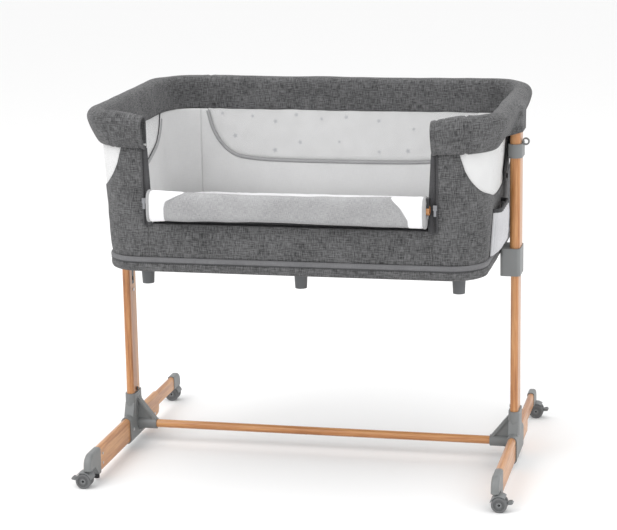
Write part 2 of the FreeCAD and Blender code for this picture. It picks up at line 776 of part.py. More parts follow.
FRONT_LEG_END = S.leg_reach - S.front_cap_length
REAR_REACH = S.leg_reach + S.rear_extra
REAR_CAP_START = REAR_REACH - S.rear_cap_length
REAR_SLEEVE_END = REAR_CAP_START - S.rear_bare
BEAM_START = REAR_SLEEVE_END - S.beam_overlap
BEAM_TOP = LEG_TOP - S.beam_inset
BEAM_MIDDLE = BEAM_TOP - S.beam_height / 2
BEAM_WIDTH = S.leg_width - 2 * (S.leg_wall + S.slide_gap)


def hollow_slot(sketch, width, height, wall, y):
    slot(sketch, width, height, y)
    slot(sketch, width - 2 * wall, height - 2 * wall, y)


def stem_bore(body, y):
    """Blind hole for a caster's stem in the underside of a cap."""
    hole = sketch_on(body, "XY_Plane", S.cap_floor + S.stem_length + S.rest_gap)
    circle(hole, S.stem_diameter + 2 * S.stem_gap, 0, y)
    pocket(body, hole)


def front_leg(label):
    body = new_body(label)
    section = sketch_on(body, "XZ_Plane", S.leg_seat)
    hollow_slot(section, S.leg_width, S.leg_height, S.leg_wall, LEG_MIDDLE)
    pad(body, section, FRONT_LEG_END - S.leg_seat)
    return body


def front_cap(label):
    """End cap of the front leg: a plug in the tube, a rounded nose and a step over the caster."""
    body = new_body(label)
    sole = FRONT_LEG_END + S.cap_step
    side = sketch_on(body, "YZ_Plane")
    outline(side, [
        (-FRONT_LEG_END, S.leg_base),
        (-FRONT_LEG_END, LEG_TOP),
        (-S.leg_reach, LEG_TOP),
        (-S.leg_reach, S.cap_floor),
        (-sole - S.cap_floor + S.leg_base, S.cap_floor),
        (-sole, S.leg_base),
    ])
    pad(body, side, S.leg_width, both=True)
    corner_cut(body, -S.leg_reach, LEG_TOP, S.front_nose, -1, 1)
    top = number(LEG_TOP)
    half = number(S.leg_width) / 2
    nose = number(S.leg_reach)
    start = number(FRONT_LEG_END)

    def on_rim(edge):
        middle = edge.CenterOfMass
        at_side = abs(abs(middle.x) - half) < 0.01
        on_top = abs(middle.z - top) < 0.01 and middle.y < -start
        on_nose = middle.y < -nose + number(S.front_nose) and middle.z > number(S.cap_floor) + 1
        return at_side and (on_top or on_nose)

    round_edges(body, S.leg_width / 2 - 3, on_rim)
    plug = sketch_on(body, "XZ_Plane", FRONT_LEG_END - S.cap_plug)
    inner = 2 * S.leg_wall + 2 * S.fit_gap
    slot(plug, S.leg_width - inner, S.leg_height - inner, LEG_MIDDLE)
    pad(body, plug, S.cap_plug + S.cap_step / 2)
    stem_bore(body, -S.leg_reach + S.stem_setback)
    return body


def rear_sleeve(label):
    """Outer tube of the rear leg, with a slot-shaped bore for the sliding leg."""
    body = new_body(label)
    section = sketch_on(body, "XZ_Plane", -S.leg_seat)
    slot(section, S.leg_width, S.leg_height, LEG_MIDDLE)
    slide = 2 * S.slide_gap
    slot(section, BEAM_WIDTH + slide, S.beam_height + slide, BEAM_MIDDLE)
    pad(body, section, REAR_SLEEVE_END - S.leg_seat, back=True)
    corner_cut(body, REAR_SLEEVE_END, S.leg_base, S.sleeve_round, 1, -1)
    return body


def rear_beam(label):
    body = new_body(label)
    section = sketch_on(body, "XZ_Plane", -BEAM_START)
    hollow_slot(section, BEAM_WIDTH, S.beam_height, S.leg_wall, BEAM_MIDDLE)
    pad(body, section, REAR_CAP_START - BEAM_START, back=True)
    return body


def rear_cap(label):
    """End cap of the sliding rear leg."""
    body = new_body(label)
    side = sketch_on(body, "YZ_Plane")
    outline(side, [
        (REAR_CAP_START, S.cap_floor),
        (REAR_REACH, S.cap_floor),
        (REAR_REACH, BEAM_TOP + S.leg_wall),
        (REAR_CAP_START, BEAM_TOP + S.leg_wall),
    ])
    pad(body, side, S.rear_cap_width, both=True)
    corner_cut(body, REAR_REACH, BEAM_TOP + S.leg_wall, S.rear_nose, 1, 1)
    half = number(S.rear_cap_width) / 2
    low = number(S.cap_floor)

    def on_rim(edge):
        middle = edge.CenterOfMass
        return (abs(abs(middle.x) - half) < 0.01 and middle.z > low + 1
                and middle.y > number(REAR_CAP_START) + 1)

    round_edges(body, S.rear_cap_width / 2 - 3, on_rim)
    plug = sketch_on(body, "XZ_Plane", -REAR_CAP_START + S.cap_plug)
    inner = 2 * S.leg_wall + 2 * S.fit_gap
    slot(plug, BEAM_WIDTH - inner, S.beam_height - inner, BEAM_MIDDLE)
    pad(body, plug, S.cap_plug + S.cap_step / 2, back=True)
    stem_bore(body, REAR_REACH - S.stem_setback)
    return body


for side, sign, _ in SIDES:
    for name, build in (
            ("front_leg_", front_leg), ("front_leg_cap_", front_cap),
            ("rear_leg_sleeve_", rear_sleeve), ("rear_leg_", rear_beam),
            ("rear_leg_cap_", rear_cap)):
        node(name + side, place(build(name + side), POST * sign))


def stud(label, diameter, height, face, y, z):
    """A round head that lies on a face turned towards the middle of the crib."""
    return cylinder(label, diameter, height, face, y, z, Vector(0, 1, 0), -90)


rivets = []
screws = []
pads = []
LEG_FACE = S.leg_width / 2
for side, sign, turn in SIDES:
    inward = -90 if sign > 0 else 90
    rows = (
        ("front", -FRONT_LEG_END + S.rivet_margin, LEG_MIDDLE),
        ("rear", REAR_SLEEVE_END - S.sleeve_round - S.rivet_margin,
         S.leg_base + S.rivet_margin))
    for end, y, z in rows:
        for step in (-1, 1) if end == "front" else (0,):
            rivets.append(cylinder(
                "rivet_%s_%s_%d" % (side, end, step), S.rivet_diameter, S.rivet_height,
                (POST - LEG_FACE) * sign, y, z + S.rivet_pitch / 2 * step,
                Vector(0, 1, 0), inward))
    heads = (
        (LEG_FACE + S.bracket_wall, S.screw_reach, LEG_MIDDLE),
        (LEG_FACE + S.bracket_wall, -S.screw_reach, LEG_MIDDLE),
        (LOWER_FACE, 0, RACK_BOTTOM - 2 * S.screw_diameter))
    for i, (face, y, z) in enumerate(heads):
        screws.append(cylinder(
            "screw_%s_%d" % (side, i), S.screw_diameter, S.screw_height,
            (POST - face) * sign, y, z, Vector(0, 1, 0), inward))
    pads.append(cylinder(
        "pad_" + side, S.pad_diameter, S.pad_height, POST * sign,
        -FRONT_LEG_END - S.cap_step / 2, S.leg_base - S.pad_height))
node("leg_rivets", group("rivet_group", rivets))
node("stand_screws", group("screw_group", screws))
node("leg_pads", group("pad_group", pads))

# ---------------------------------------------------------------- casters

AXLE_HEIGHT = S.wheel_diameter / 2
WHEEL_INNER = S.web_thickness / 2 + S.wheel_gap
HOOD_INNER = S.wheel_diameter / 2 + S.hood_gap
HOOD_OUTER = HOOD_INNER + S.hood_wall
PIVOT_X = S.trail + S.pedal_pivot
PIVOT_Z = AXLE_HEIGHT + 3


def caster_hood(label):
    """Swivelling hood: web between the wheels, fender, hollow axle, stem and pedal pin."""
    body = new_body(label)
    web = sketch_on(body, "XZ_Plane")
    circle(web, S.wheel_diameter / 2 + S.axle_diameter, S.trail, AXLE_HEIGHT)
    pad(body, web, S.web_thickness, both=True)
    crown = sketch_on(body, "XZ_Plane")
    sector(crown, S.trail, AXLE_HEIGHT, S.axle_diameter, HOOD_OUTER, 50, 165)
    pad(body, crown, S.web_thickness, both=True)
    fender = sketch_on(body, "XZ_Plane")
    sector(fender, S.trail, AXLE_HEIGHT, HOOD_INNER, HOOD_OUTER, 50, 165)
    pad(body, fender, 2 * (WHEEL_INNER + S.wheel_width), both=True)
    lug = sketch_on(body, "XZ_Plane")
    rectangle(lug, S.trail, PIVOT_X + S.pedal_pin, PIVOT_Z - S.pedal_pin, PIVOT_Z + S.pedal_pin)
    pad(body, lug, S.web_thickness, both=True)
    pin = sketch_on(body, "XZ_Plane")
    circle(pin, S.pedal_pin, PIVOT_X, PIVOT_Z)
    pad(body, pin, S.pedal_width, both=True)
    axle = sketch_on(body, "XZ_Plane")
    circle(axle, S.axle_diameter, S.trail, AXLE_HEIGHT)
    pad(body, axle, 2 * (WHEEL_INNER + S.wheel_width), both=True)
    bore = sketch_on(body, "XZ_Plane")
    circle(bore, S.axle_bore, S.trail, AXLE_HEIGHT)
    pocket(body, bore, both=True)
    flange = sketch_on(body, "XY_Plane", S.cap_floor - S.rest_gap)
    circle(flange, S.flange_diameter)
    pad(body, flange, S.cap_floor - S.wheel_diameter - S.hood_gap - S.hood_wall, back=True)
    stem = sketch_on(body, "XY_Plane", S.wheel_diameter + S.hood_gap)
    circle(stem, S.stem_diameter)
    pad(body, stem, S.cap_floor + S.stem_length - S.wheel_diameter - S.hood_gap)
    return body


def caster_wheel(label):
    """One wheel, with a rounded tread and a ring sunk in its outer face."""
    body = new_body(label)
    disc = sketch_on(body, "XZ_Plane", WHEEL_INNER)
    circle(disc, S.wheel_diameter, S.trail, AXLE_HEIGHT)
    circle(disc, S.axle_diameter + 2 * S.axle_gap, S.trail, AXLE_HEIGHT)
    pad(body, disc, S.wheel_width)
    tread = number(S.wheel_diameter) / 2
    round_edges(body, S.wheel_round, lambda e: abs(e.BoundBox.ZLength / 2 - tread) < 0.01
                and abs(e.BoundBox.YLength) < 0.01)
    dish = sketch_on(body, "XZ_Plane", WHEEL_INNER + S.wheel_width)
    circle(dish, S.wheel_diameter - 4 * S.wheel_round, S.trail, AXLE_HEIGHT)
    circle(dish, S.axle_diameter + 2 * S.wheel_round, S.trail, AXLE_HEIGHT)
    pocket(body, dish, S.wheel_dish)
    return body


def caster_wheels(label):
    near = caster_wheel(label + "_near")
    far = caster_wheel(label + "_far")
    place(far, S.trail * 2, 0, 0, 180)
    return group(label + "_both", [near, far])


def brake_pedal(label):
    """Foot pedal that straddles the hood's lug on its pin."""
    body = new_body(label)
    start = PIVOT_X - S.pedal_pin / 2 - 1.5
    side = sketch_on(body, "XZ_Plane")
    thick = S.pedal_thickness / 2
    outline(side, [
        (start, PIVOT_Z - thick),
        (start + S.pedal_length - 2, PIVOT_Z - thick + 1),
        (start + S.pedal_length, PIVOT_Z + 1),
        (start + S.pedal_length - 3, PIVOT_Z + thick + 1),
        (start, PIVOT_Z + thick),
    ])
    pad(body, side, S.pedal_width, both=True)
    mouth = sketch_on(body, "XZ_Plane")
    rectangle(mouth, start - 1, PIVOT_X + S.pedal_pin + 2 * S.wheel_gap,
              PIVOT_Z - S.pedal_thickness, PIVOT_Z + S.pedal_thickness)
    pocket(body, mouth, S.web_thickness + 2 * S.wheel_gap, both=True)
    hole = sketch_on(body, "XZ_Plane")
    circle(hole, S.pedal_pin + 2 * S.pedal_gap, PIVOT_X, PIVOT_Z)
    pocket(body, hole, both=True)
    return body


for end, y in (
        ("front", -S.leg_reach + S.stem_setback), ("rear", REAR_REACH - S.stem_setback)):
    for side, sign, turn in SIDES:
        for name, build in (
                ("caster_hood_", caster_hood), ("caster_wheels_", caster_wheels),
                ("brake_pedal_", brake_pedal)):
            label = "%s%s_%s" % (name, end, side)
            node(label, place(build(label + "_piece"), POST * sign, y, 0, turn))

# ---------------------------------------------------------------- upper posts

FRAME_HALF_LENGTH = BASE_HALF_LENGTH - S.base_wall - S.rest_gap - S.frame_tube / 2
FRAME_HALF_DEPTH = BASE_HALF_DEPTH - S.base_wall - S.rest_gap - S.frame_tube / 2
FRAME_CORNER = S.base_corner - S.base_wall - S.rest_gap - S.frame_tube / 2
FRAME_HEIGHT = S.basket_bottom + S.base_floor + S.rest_gap + S.frame_tube / 2


def upper_post(label):
    body = new_body(label)
    foot = SLEEVE_TOP - S.sleeve_seat
    section = sketch_on(body, "XY_Plane", foot)
    slot(section, S.upper_width, S.upper_depth)
    slot(section, S.upper_width - 2 * S.upper_wall, S.upper_depth - 2 * S.upper_wall)
    pad(body, section, UPPER_TOP - foot)
    return body


def height_sleeve(label):
    """Sleeve that slides on the lower post, carries the upper one and holds the basket's peg."""
    body = new_body(label)
    shell = sketch_on(body, "XY_Plane", SLEEVE_BOTTOM)
    half = S.sleeve_depth / 2
    rounded_path(shell, [
        (S.sleeve_outboard, -half),
        (S.sleeve_outboard, half),
        (-S.sleeve_inboard, half),
        (-S.sleeve_inboard, -half),
    ], S.sleeve_corner)
    pad(body, shell, S.sleeve_height)
    peg = sketch_on(body, "YZ_Plane", -S.sleeve_inboard)
    circle(peg, S.peg_diameter, 0, FRAME_HEIGHT)
    reach = POST - S.sleeve_inboard - FRAME_HALF_LENGTH - S.frame_tube / 2 - S.rest_gap
    pad(body, peg, reach, back=True)
    bore = sketch_on(body, "XY_Plane", SLEEVE_BOTTOM - 1)
    slot(bore, S.lower_width + 2 * S.slide_gap, S.lower_depth + 2 * S.slide_gap)
    pocket(body, bore, back=True)
    seat = sketch_on(body, "XY_Plane", SLEEVE_TOP - S.sleeve_seat)
    slot(seat, S.upper_width + 2 * S.fit_gap, S.upper_depth + 2 * S.fit_gap)
    pocket(body, seat, back=True)
    recess = sketch_on(body, "YZ_Plane", -S.sleeve_inboard + S.button_cavity)
    low = SLEEVE_BOTTOM + S.button_rise
    rectangle(recess, -S.button_width / 2, S.button_width / 2, low, low + S.button_height)
    pocket(body, recess)
    return body


def release_button(label):
    """Button that is pressed towards the post to free the sleeve."""
    body = new_body(label)
    inner = -S.sleeve_inboard + S.button_cavity - S.button_travel - S.rest_gap
    face = sketch_on(body, "YZ_Plane", inner)
    half = S.button_width / 2 - S.slide_gap
    low = SLEEVE_BOTTOM + S.button_rise
    rectangle(face, -half, half, low + S.slide_gap, low + S.button_height - S.slide_gap)
    length = S.button_cavity - S.button_travel - S.rest_gap + S.button_proud
    pad(body, face, length, back=True)
    return body


HOOK_BOTTOM = BAND_FOOT - S.hook_drop


def hook_collar(label):
    """Collar with a loop on its outer side."""
    body = new_body(label)
    ring = sketch_on(body, "XY_Plane", HOOK_BOTTOM)
    slot(ring, S.upper_width + 2 * S.hook_wall, S.upper_depth + 2 * S.hook_wall)
    pad(body, ring, S.hook_height)
    loop_x = S.upper_width / 2 + S.hook_wall + S.loop_inner / 2
    loop_z = HOOK_BOTTOM + S.hook_height + S.loop_inner / 4
    loop = sketch_on(body, "XZ_Plane")
    circle(loop, S.loop_outer, loop_x, loop_z)
    pad(body, loop, S.loop_thickness, both=True)
    hole = sketch_on(body, "XZ_Plane")
    circle(hole, S.loop_inner, loop_x, loop_z)
    pocket(body, hole, both=True)
    bore = sketch_on(body, "XY_Plane", HOOK_BOTTOM - 1)
    slot(bore, S.upper_width + 2 * S.fit_gap, S.upper_depth + 2 * S.fit_gap)
    pocket(body, bore, back=True)
    return body


def rim_saddle(label):
    """Plug in the upper post's end with a cradle for the rim tube."""
    body = new_body(label)
    inner = 2 * S.upper_wall + 2 * S.fit_gap
    plug = sketch_on(body, "XY_Plane", UPPER_TOP - S.saddle_plug)
    slot(plug, S.upper_width - inner, S.upper_depth - inner)
    pad(body, plug, S.saddle_plug)
    head = sketch_on(body, "XY_Plane", UPPER_TOP)
    half = S.upper_depth / 2 - S.upper_width / 4
    outboard = S.upper_width / 2
    inboard = S.rim_inset + S.rim_tube / 2 + S.upper_wall
    rectangle(head, -inboard, outboard, -half, half)
    pad(body, head, S.saddle_floor + S.saddle_lip)
    cradle = sketch_on(body, "XZ_Plane")
    circle(cradle, S.rim_tube + 2 * S.fit_gap, -S.rim_inset, RIM_TUBE_HEIGHT)
    pocket(body, cradle, both=True)
    return body


both_ends("upper_post_%s", upper_post)
both_ends("height_sleeve_%s", height_sleeve)
both_ends("release_button_%s", release_button)
placed_pair("hook_collars", hook_collar)
placed_pair("rim_saddles", rim_saddle)

# ---------------------------------------------------------------- rim

RIM_X = POST - S.rim_inset
RIM_Y = S.rim_depth / 2 - S.band_thickness / 2
RIM_BEND = S.rim_corner - S.band_thickness / 2
HALF_BAND = S.band_thickness / 2
HALF_GAP = RIM_X - S.stub_length


def rim_path(body, height, end):
    """Line round the rim that is open at the front: from one front end round to the other."""
    path = sketch_on(body, "XY_Plane", height)
    rounded_path(path, [
        (-end, -RIM_Y), (-RIM_X, -RIM_Y), (-RIM_X, RIM_Y),
        (RIM_X, RIM_Y), (RIM_X, -RIM_Y), (end, -RIM_Y),
    ], RIM_BEND, closed=False)
    return path


rim_tube = new_body("rim_tube")
tube_end = HALF_GAP + S.tube_setback
tube_section = sketch_on(rim_tube, "YZ_Plane", -tube_end)
circle(tube_section, S.rim_tube, -RIM_Y, RIM_TUBE_HEIGHT)
circle(tube_section, S.rim_tube - 2 * S.rim_tube_wall, -RIM_Y, RIM_TUBE_HEIGHT)
pipe(rim_tube, tube_section, rim_path(rim_tube, RIM_TUBE_HEIGHT, tube_end))
node("rim_tube", rim_tube)


def band_outline(sketch, inset):
    """Section of the padded band: upright inside, round on top, slanting in underneath.

    It is drawn at the left-hand front end, where outwards is -Y.
    """
    inner = -RIM_Y + HALF_BAND - inset
    outer = -RIM_Y - HALF_BAND + inset
    low = BAND_FOOT + inset
    high = S.rim_height - inset
    bend = S.band_round - inset
    foot = inner - S.band_foot + inset * 1.6
    turn = S.rim_height - S.band_round
    spots = {
        "foot_in": (inner, low),
        "top_in": (inner, turn),
        "crown_in": (inner - bend, high),
        "crown_out": (outer + bend, high),
        "top_out": (outer, turn),
        "foot_out": (foot, low),
    }
    point = {key: Vector(number(y), number(z), 0) for key, (y, z) in spots.items()}
    centre_in = Vector(number(inner - bend), number(turn), 0)
    centre_out = Vector(number(outer + bend), number(turn), 0)
    radius = number(bend)
    up = math.pi / 2
    inside = sketch.addGeometry(Part.LineSegment(point["foot_in"], point["top_in"]), False)
    arc_in = sketch.addGeometry(
        Part.ArcOfCircle(Part.Circle(centre_in, Vector(0, 0, 1), radius), 0, up), False)
    crown = sketch.addGeometry(
        Part.LineSegment(point["crown_in"], point["crown_out"]), False)
    arc_out = sketch.addGeometry(
        Part.ArcOfCircle(Part.Circle(centre_out, Vector(0, 0, 1), radius), up, math.pi), False)
    outside = sketch.addGeometry(Part.LineSegment(point["top_out"], point["foot_out"]), False)
    foot_line = sketch.addGeometry(
        Part.LineSegment(point["foot_out"], point["foot_in"]), False)
    for one, end, two, start in (
            (inside, 2, arc_in, 1), (arc_in, 2, crown, 1), (crown, 2, arc_out, 1)):
        sketch.addConstraint(Sketcher.Constraint("Tangent", one, end, two, start))
    for one, end, two, start in (
            (arc_out, 2, outside, 1), (outside, 2, foot_line, 1), (foot_line, 2, inside, 1)):
        sketch.addConstraint(Sketcher.Constraint("Coincident", one, end, two, start))
    sketch.addConstraint(Sketcher.Constraint("Vertical", inside))
    sketch.addConstraint(Sketcher.Constraint("Horizontal", crown))
    fix(sketch, inside, 1, *spots["foot_in"])
    fix(sketch, crown, 1, *spots["crown_in"])
    fix(sketch, arc_out, 3, outer + bend, None)
    fix(sketch, outside, 1, *spots["top_out"])
    fix(sketch, outside, 2, *spots["foot_out"])


rim_cover = new_body("rim_cover")
band_section = sketch_on(rim_cover, "YZ_Plane", -HALF_GAP)
band_outline(band_section, 0)
pipe(rim_cover, band_section, rim_path(rim_cover, RIM_TUBE_HEIGHT, HALF_GAP))
for side, sign, _ in SIDES:
    bulge = sketch_on(rim_cover, "XY_Plane", BAND_FOOT + S.bulge_rise)
    far, near = (POST + S.bulge_reach) * sign, RIM_X * sign
    rounded_path(bulge, [
        (max(far, near, key=number), -S.bulge_depth / 2),
        (max(far, near, key=number), S.bulge_depth / 2),
        (min(far, near, key=number), S.bulge_depth / 2),
        (min(far, near, key=number), -S.bulge_depth / 2),
    ], S.bulge_reach / 2)
    pad(rim_cover, bulge, S.bulge_height)
hollow_section = sketch_on(rim_cover, "YZ_Plane", -HALF_GAP)
band_outline(hollow_section, S.cover_wall)
pipe(rim_cover, hollow_section, rim_path(rim_cover, RIM_TUBE_HEIGHT, HALF_GAP),
     "PartDesign::SubtractivePipe")
for side, sign, _ in SIDES:
    post_slot = sketch_on(rim_cover, "XY_Plane", BAND_FOOT - 1)
    outboard = (POST + S.upper_width / 2 + S.post_slot_gap) * sign
    inboard = (RIM_X - S.rim_tube / 2 - S.upper_wall - S.post_slot_gap) * sign
    depth = S.upper_depth / 2 + S.post_slot_gap
    rectangle(post_slot, min(inboard, outboard, key=number), max(inboard, outboard, key=number),
              -depth, depth)
    pocket(rim_cover, post_slot,
           UPPER_TOP + S.saddle_floor + S.saddle_lip + 2 * S.post_slot_gap - BAND_FOOT, back=True)
node("rim_cover", rim_cover)

# ---------------------------------------------------------------- basket walls

WALL_FOOT = S.basket_bottom + S.base_band + S.piping_height
WALL_TOP_LENGTH = RIM_X - S.end_offset
WALL_TOP_DEPTH = RIM_Y - S.side_offset
WALL_CORNER_TOP = RIM_BEND - S.corner_offset
FRONT_WALL_TOP = S.basket_bottom + S.front_wall_rise
BACK_SEAM = RIM_X - RIM_BEND
WALL_CORNER_FOOT = S.base_corner - S.wall_inset


def wall_block(label, outwards):
    """Solid block inside the wall's outer face, moved outwards by a distance."""
    foot = loose_sketch(label + "_foot", WALL_FOOT)
    rounded_rectangle(
        foot, BASE_HALF_LENGTH - S.wall_inset + outwards,
        BASE_HALF_DEPTH - S.wall_inset + outwards, WALL_CORNER_FOOT + outwards)
    top = loose_sketch(label + "_top", BAND_FOOT)
    rounded_rectangle(
        top, WALL_TOP_LENGTH + outwards, WALL_TOP_DEPTH + outwards,
        WALL_CORNER_TOP + outwards)
    loft = doc.addObject("Part::Loft", label)
    loft.Sections = [foot, top]
    loft.Solid = True
    loft.Ruled = True
    return loft


def wall_layer(label, outer, inner):
    return cut(label, wall_block(label + "_outer", outer), wall_block(label + "_inner", inner))


FAR = POST + 2 * S.band_thickness
SKY = S.rim_height + S.band_height


def window_prism(label, points, along_x, start, end):
    """Block whose outline is a spline through the points, with a straight upper edge."""
    def spot(first, height, depth):
        if along_x:
            return Vector(depth, number(first), number(height))
        return Vector(number(first), depth, number(height))

    edge = Part.BSplineCurve()
    edge.interpolate([spot(a, z, number(start)) for a, z in points])
    lid = Part.LineSegment(spot(*points[-1], number(start)), spot(*points[0], number(start)))
    face = Part.Face(Part.Wire([edge.toShape(), lid.toShape()]))
    reach = number(end) - number(start)
    solid = face.extrude(Vector(reach, 0, 0) if along_x else Vector(0, reach, 0))
    feature = doc.addObject("Part::Feature", label)
    feature.Shape = solid
    return feature


END_WINDOW = [
    # share of the window's reach before or behind the post axis, share of its dip
    (-1, -0.01), (-0.9926, 0.18), (-0.98, 0.38), (-0.95, 0.58), (-0.895, 0.74), (-0.802, 0.83),
    (-0.588, 0.95), (-0.362, 1), (-0.1, 0.97), (0.25, 0.87), (0.57, 0.69), (0.775, 0.53),
    (0.917, 0.28), (1, -0.01)]
BACK_WINDOW = [
    # share of the half width, share of the dip
    (1, -0.01), (0.965, 0.33), (0.91, 0.62), (0.82, 0.86), (0.7, 0.955), (0.4, 1)]


def end_window(label, sign):
    """Mesh window from the front corner to behind the post, crossed by an upright strip."""
    points = []
    for share, dip in END_WINDOW:
        reach = S.end_window_front if share < 0 else S.end_window_rear
        points.append((reach * share, BAND_FOOT - S.end_window_depth * dip))
    prism = window_prism(label + "_prism", points, True, sign * BACK_SEAM, sign * FAR)
    strip = box(label + "_strip", (-FAR, -S.strip_front, WALL_FOOT), (FAR, S.strip_rear, SKY))
    return cut(label, prism, strip)


def back_window(label):
    """Mesh window of the back wall, wide at the top and rounded at its lower corners."""
    half = BACK_SEAM - S.back_window_margin
    right = [
        (half * share, BAND_FOOT - S.back_window_depth * dip) for share, dip in BACK_WINDOW]
    left = [(-x, z) for x, z in reversed(right)]
    return window_prism(label, right + left, False, 0, FAR)


padded_wall = wall_layer("padded_wall", 0, -S.wall_thickness)
mesh_layer = wall_layer("mesh_layer", -S.mesh_depth, -S.mesh_depth - S.mesh_thickness)


def wall_part(label, layer, low, high):
    return common(label, layer, box(label + "_region", low, high))


back_region = wall_part(
    "back_region", padded_wall, (-BACK_SEAM, 0, WALL_FOOT), (BACK_SEAM, FAR, BAND_FOOT))
node("back_wall", cut("back_wall_piece", back_region, back_window("back_opening")))
node("front_wall", wall_part(
    "front_wall_piece", padded_wall, (-HALF_GAP, -FAR, WALL_FOOT),
    (HALF_GAP, 0, FRONT_WALL_TOP)))

TAPE_IN = HALF_GAP + S.tape_margin
TAPE_FACE = WALL_TOP_DEPTH + S.tape_depth
wall_solid = wall_block("wall_solid", 0)
meshes = [common("back_mesh", mesh_layer, back_window("back_mesh_opening"))]
for side, sign, _ in SIDES:
    inner_x, outer_x = (HALF_GAP, FAR) if sign > 0 else (-FAR, -HALF_GAP)
    back_in, back_out = (BACK_SEAM, FAR) if sign > 0 else (-FAR, -BACK_SEAM)
    front_part = wall_part(
        "end_front_" + side, padded_wall, (inner_x, -FAR, WALL_FOOT), (outer_x, 0, BAND_FOOT))
    back_part = wall_part(
        "end_back_" + side, padded_wall, (back_in, 0, WALL_FOOT), (back_out, FAR, BAND_FOOT))
    opened = cut("end_opened_" + side, fuse("end_wall_whole_" + side, [front_part, back_part]),
                 end_window("end_opening_" + side, sign))
    tape_low, tape_high = TAPE_IN, TAPE_IN + S.tape_width
    if sign < 0:
        tape_low, tape_high = -tape_high, -tape_low
    tape_block = box("tape_block_" + side, (tape_low, -TAPE_FACE, FRONT_WALL_TOP),
                     (tape_high, -WALL_TOP_DEPTH + S.wall_thickness, BAND_FOOT))
    tape = cut("zip_tape_" + side, tape_block, wall_solid)
    node("end_wall_" + side, fuse("end_wall_piece_" + side, [opened, tape]))
    meshes.append(common("end_mesh_" + side, mesh_layer, end_window("mesh_opening_" + side, sign)))
node("window_meshes", group("mesh_group", meshes))

# ---------------------------------------------------------------- mesh pocket

POCKET_TOP = S.basket_bottom + S.pocket_rise
pocket_net = wall_layer("pocket_net", S.pocket_depth, S.pocket_depth - S.pocket_net)
net_face = wall_part(
    "net_face", pocket_net, (0, -S.pocket_front, WALL_FOOT), (FAR, -S.pocket_rear, POCKET_TOP))
pocket_block = wall_block("pocket_block", S.pocket_depth)
pocket_edges = []
for name, front, rear, top in (
        ("front", S.pocket_front, S.pocket_front - S.pocket_net, POCKET_TOP),
        ("rear", S.pocket_rear + S.pocket_net, S.pocket_rear, POCKET_TOP),
        ("floor", S.pocket_front, S.pocket_rear, WALL_FOOT + S.pocket_net)):
    pocket_edges.append(wall_part(
        "pocket_%s" % name, pocket_block, (0, -front, WALL_FOOT), (FAR, -rear, top)))
sides_only = cut("pocket_sides", fuse("pocket_solid", pocket_edges), wall_solid)
node("mesh_pocket", fuse("mesh_pocket_piece", [net_face, sides_only]))

# ---------------------------------------------------------------- bottom of the basket

base_cover = new_body("base_cover")
band_plan = sketch_on(base_cover, "XY_Plane", S.basket_bottom)
rounded_rectangle(band_plan, BASE_HALF_LENGTH, BASE_HALF_DEPTH, S.base_corner)
pad(base_cover, band_plan, S.base_band)
piping_plan = sketch_on(base_cover, "XY_Plane", S.basket_bottom + S.base_band)
rounded_rectangle(
    piping_plan, BASE_HALF_LENGTH + S.piping_proud, BASE_HALF_DEPTH + S.piping_proud,
    S.base_corner + S.piping_proud)
pad(base_cover, piping_plan, S.piping_height)
well_plan = sketch_on(base_cover, "XY_Plane", S.basket_bottom + S.base_floor)
rounded_rectangle(
    well_plan, BASE_HALF_LENGTH - S.base_wall, BASE_HALF_DEPTH - S.base_wall,
    S.base_corner - S.base_wall)
pocket(base_cover, well_plan, back=True)
peg_holes = sketch_on(base_cover, "YZ_Plane")
circle(peg_holes, S.peg_diameter + 2 * S.fit_gap, 0, FRAME_HEIGHT)
pocket(base_cover, peg_holes, both=True)
node("base_cover", base_cover)

base_frame = new_body("base_frame")
for bore, kind in ((0, "PartDesign::AdditivePipe"),
                   (2 * S.frame_tube_wall, "PartDesign::SubtractivePipe")):
    frame_section = sketch_on(base_frame, "XZ_Plane")
    circle(frame_section, S.frame_tube - bore, FRAME_HALF_LENGTH, FRAME_HEIGHT)
    frame_path = sketch_on(base_frame, "XY_Plane", FRAME_HEIGHT)
    rounded_rectangle(frame_path, FRAME_HALF_LENGTH, FRAME_HALF_DEPTH, FRAME_CORNER)
    pipe(base_frame, frame_section, frame_path, kind)
node("base_frame", base_frame)

BOARD_FOOT = FRAME_HEIGHT + S.frame_tube / 2 + S.rest_gap
bottom_board = new_body("bottom_board")
board_plan = sketch_on(bottom_board, "XY_Plane", BOARD_FOOT)
board_edge = S.base_wall + S.rest_gap
rounded_rectangle(
    board_plan, BASE_HALF_LENGTH - board_edge, BASE_HALF_DEPTH - board_edge,
    S.base_corner - board_edge)
pad(bottom_board, board_plan, S.board_thickness)
node("bottom_board", bottom_board)


def plan_wire(half_length, half_depth, radius, z):
    """Rounded rectangle in plan, as a wire of lines and quarter arcs."""
    edges = []
    corners = [(1, -1), (1, 1), (-1, 1), (-1, -1)]
    spots = []
    for i, (sx, sy) in enumerate(corners):
        centre = Vector(sx * (half_length - radius), sy * (half_depth - radius), z)
        start = math.radians(-90 + 90 * i)
        arc = [centre + Vector(math.cos(a), math.sin(a), 0) * radius
               for a in (start, start + math.pi / 4, start + math.pi / 2)]
        spots.append(arc)
    for i, arc in enumerate(spots):
        edges.append(Part.Arc(*arc).toShape())
        edges.append(Part.LineSegment(arc[2], spots[(i + 1) % 4][0]).toShape())
    return Part.Wire(edges)


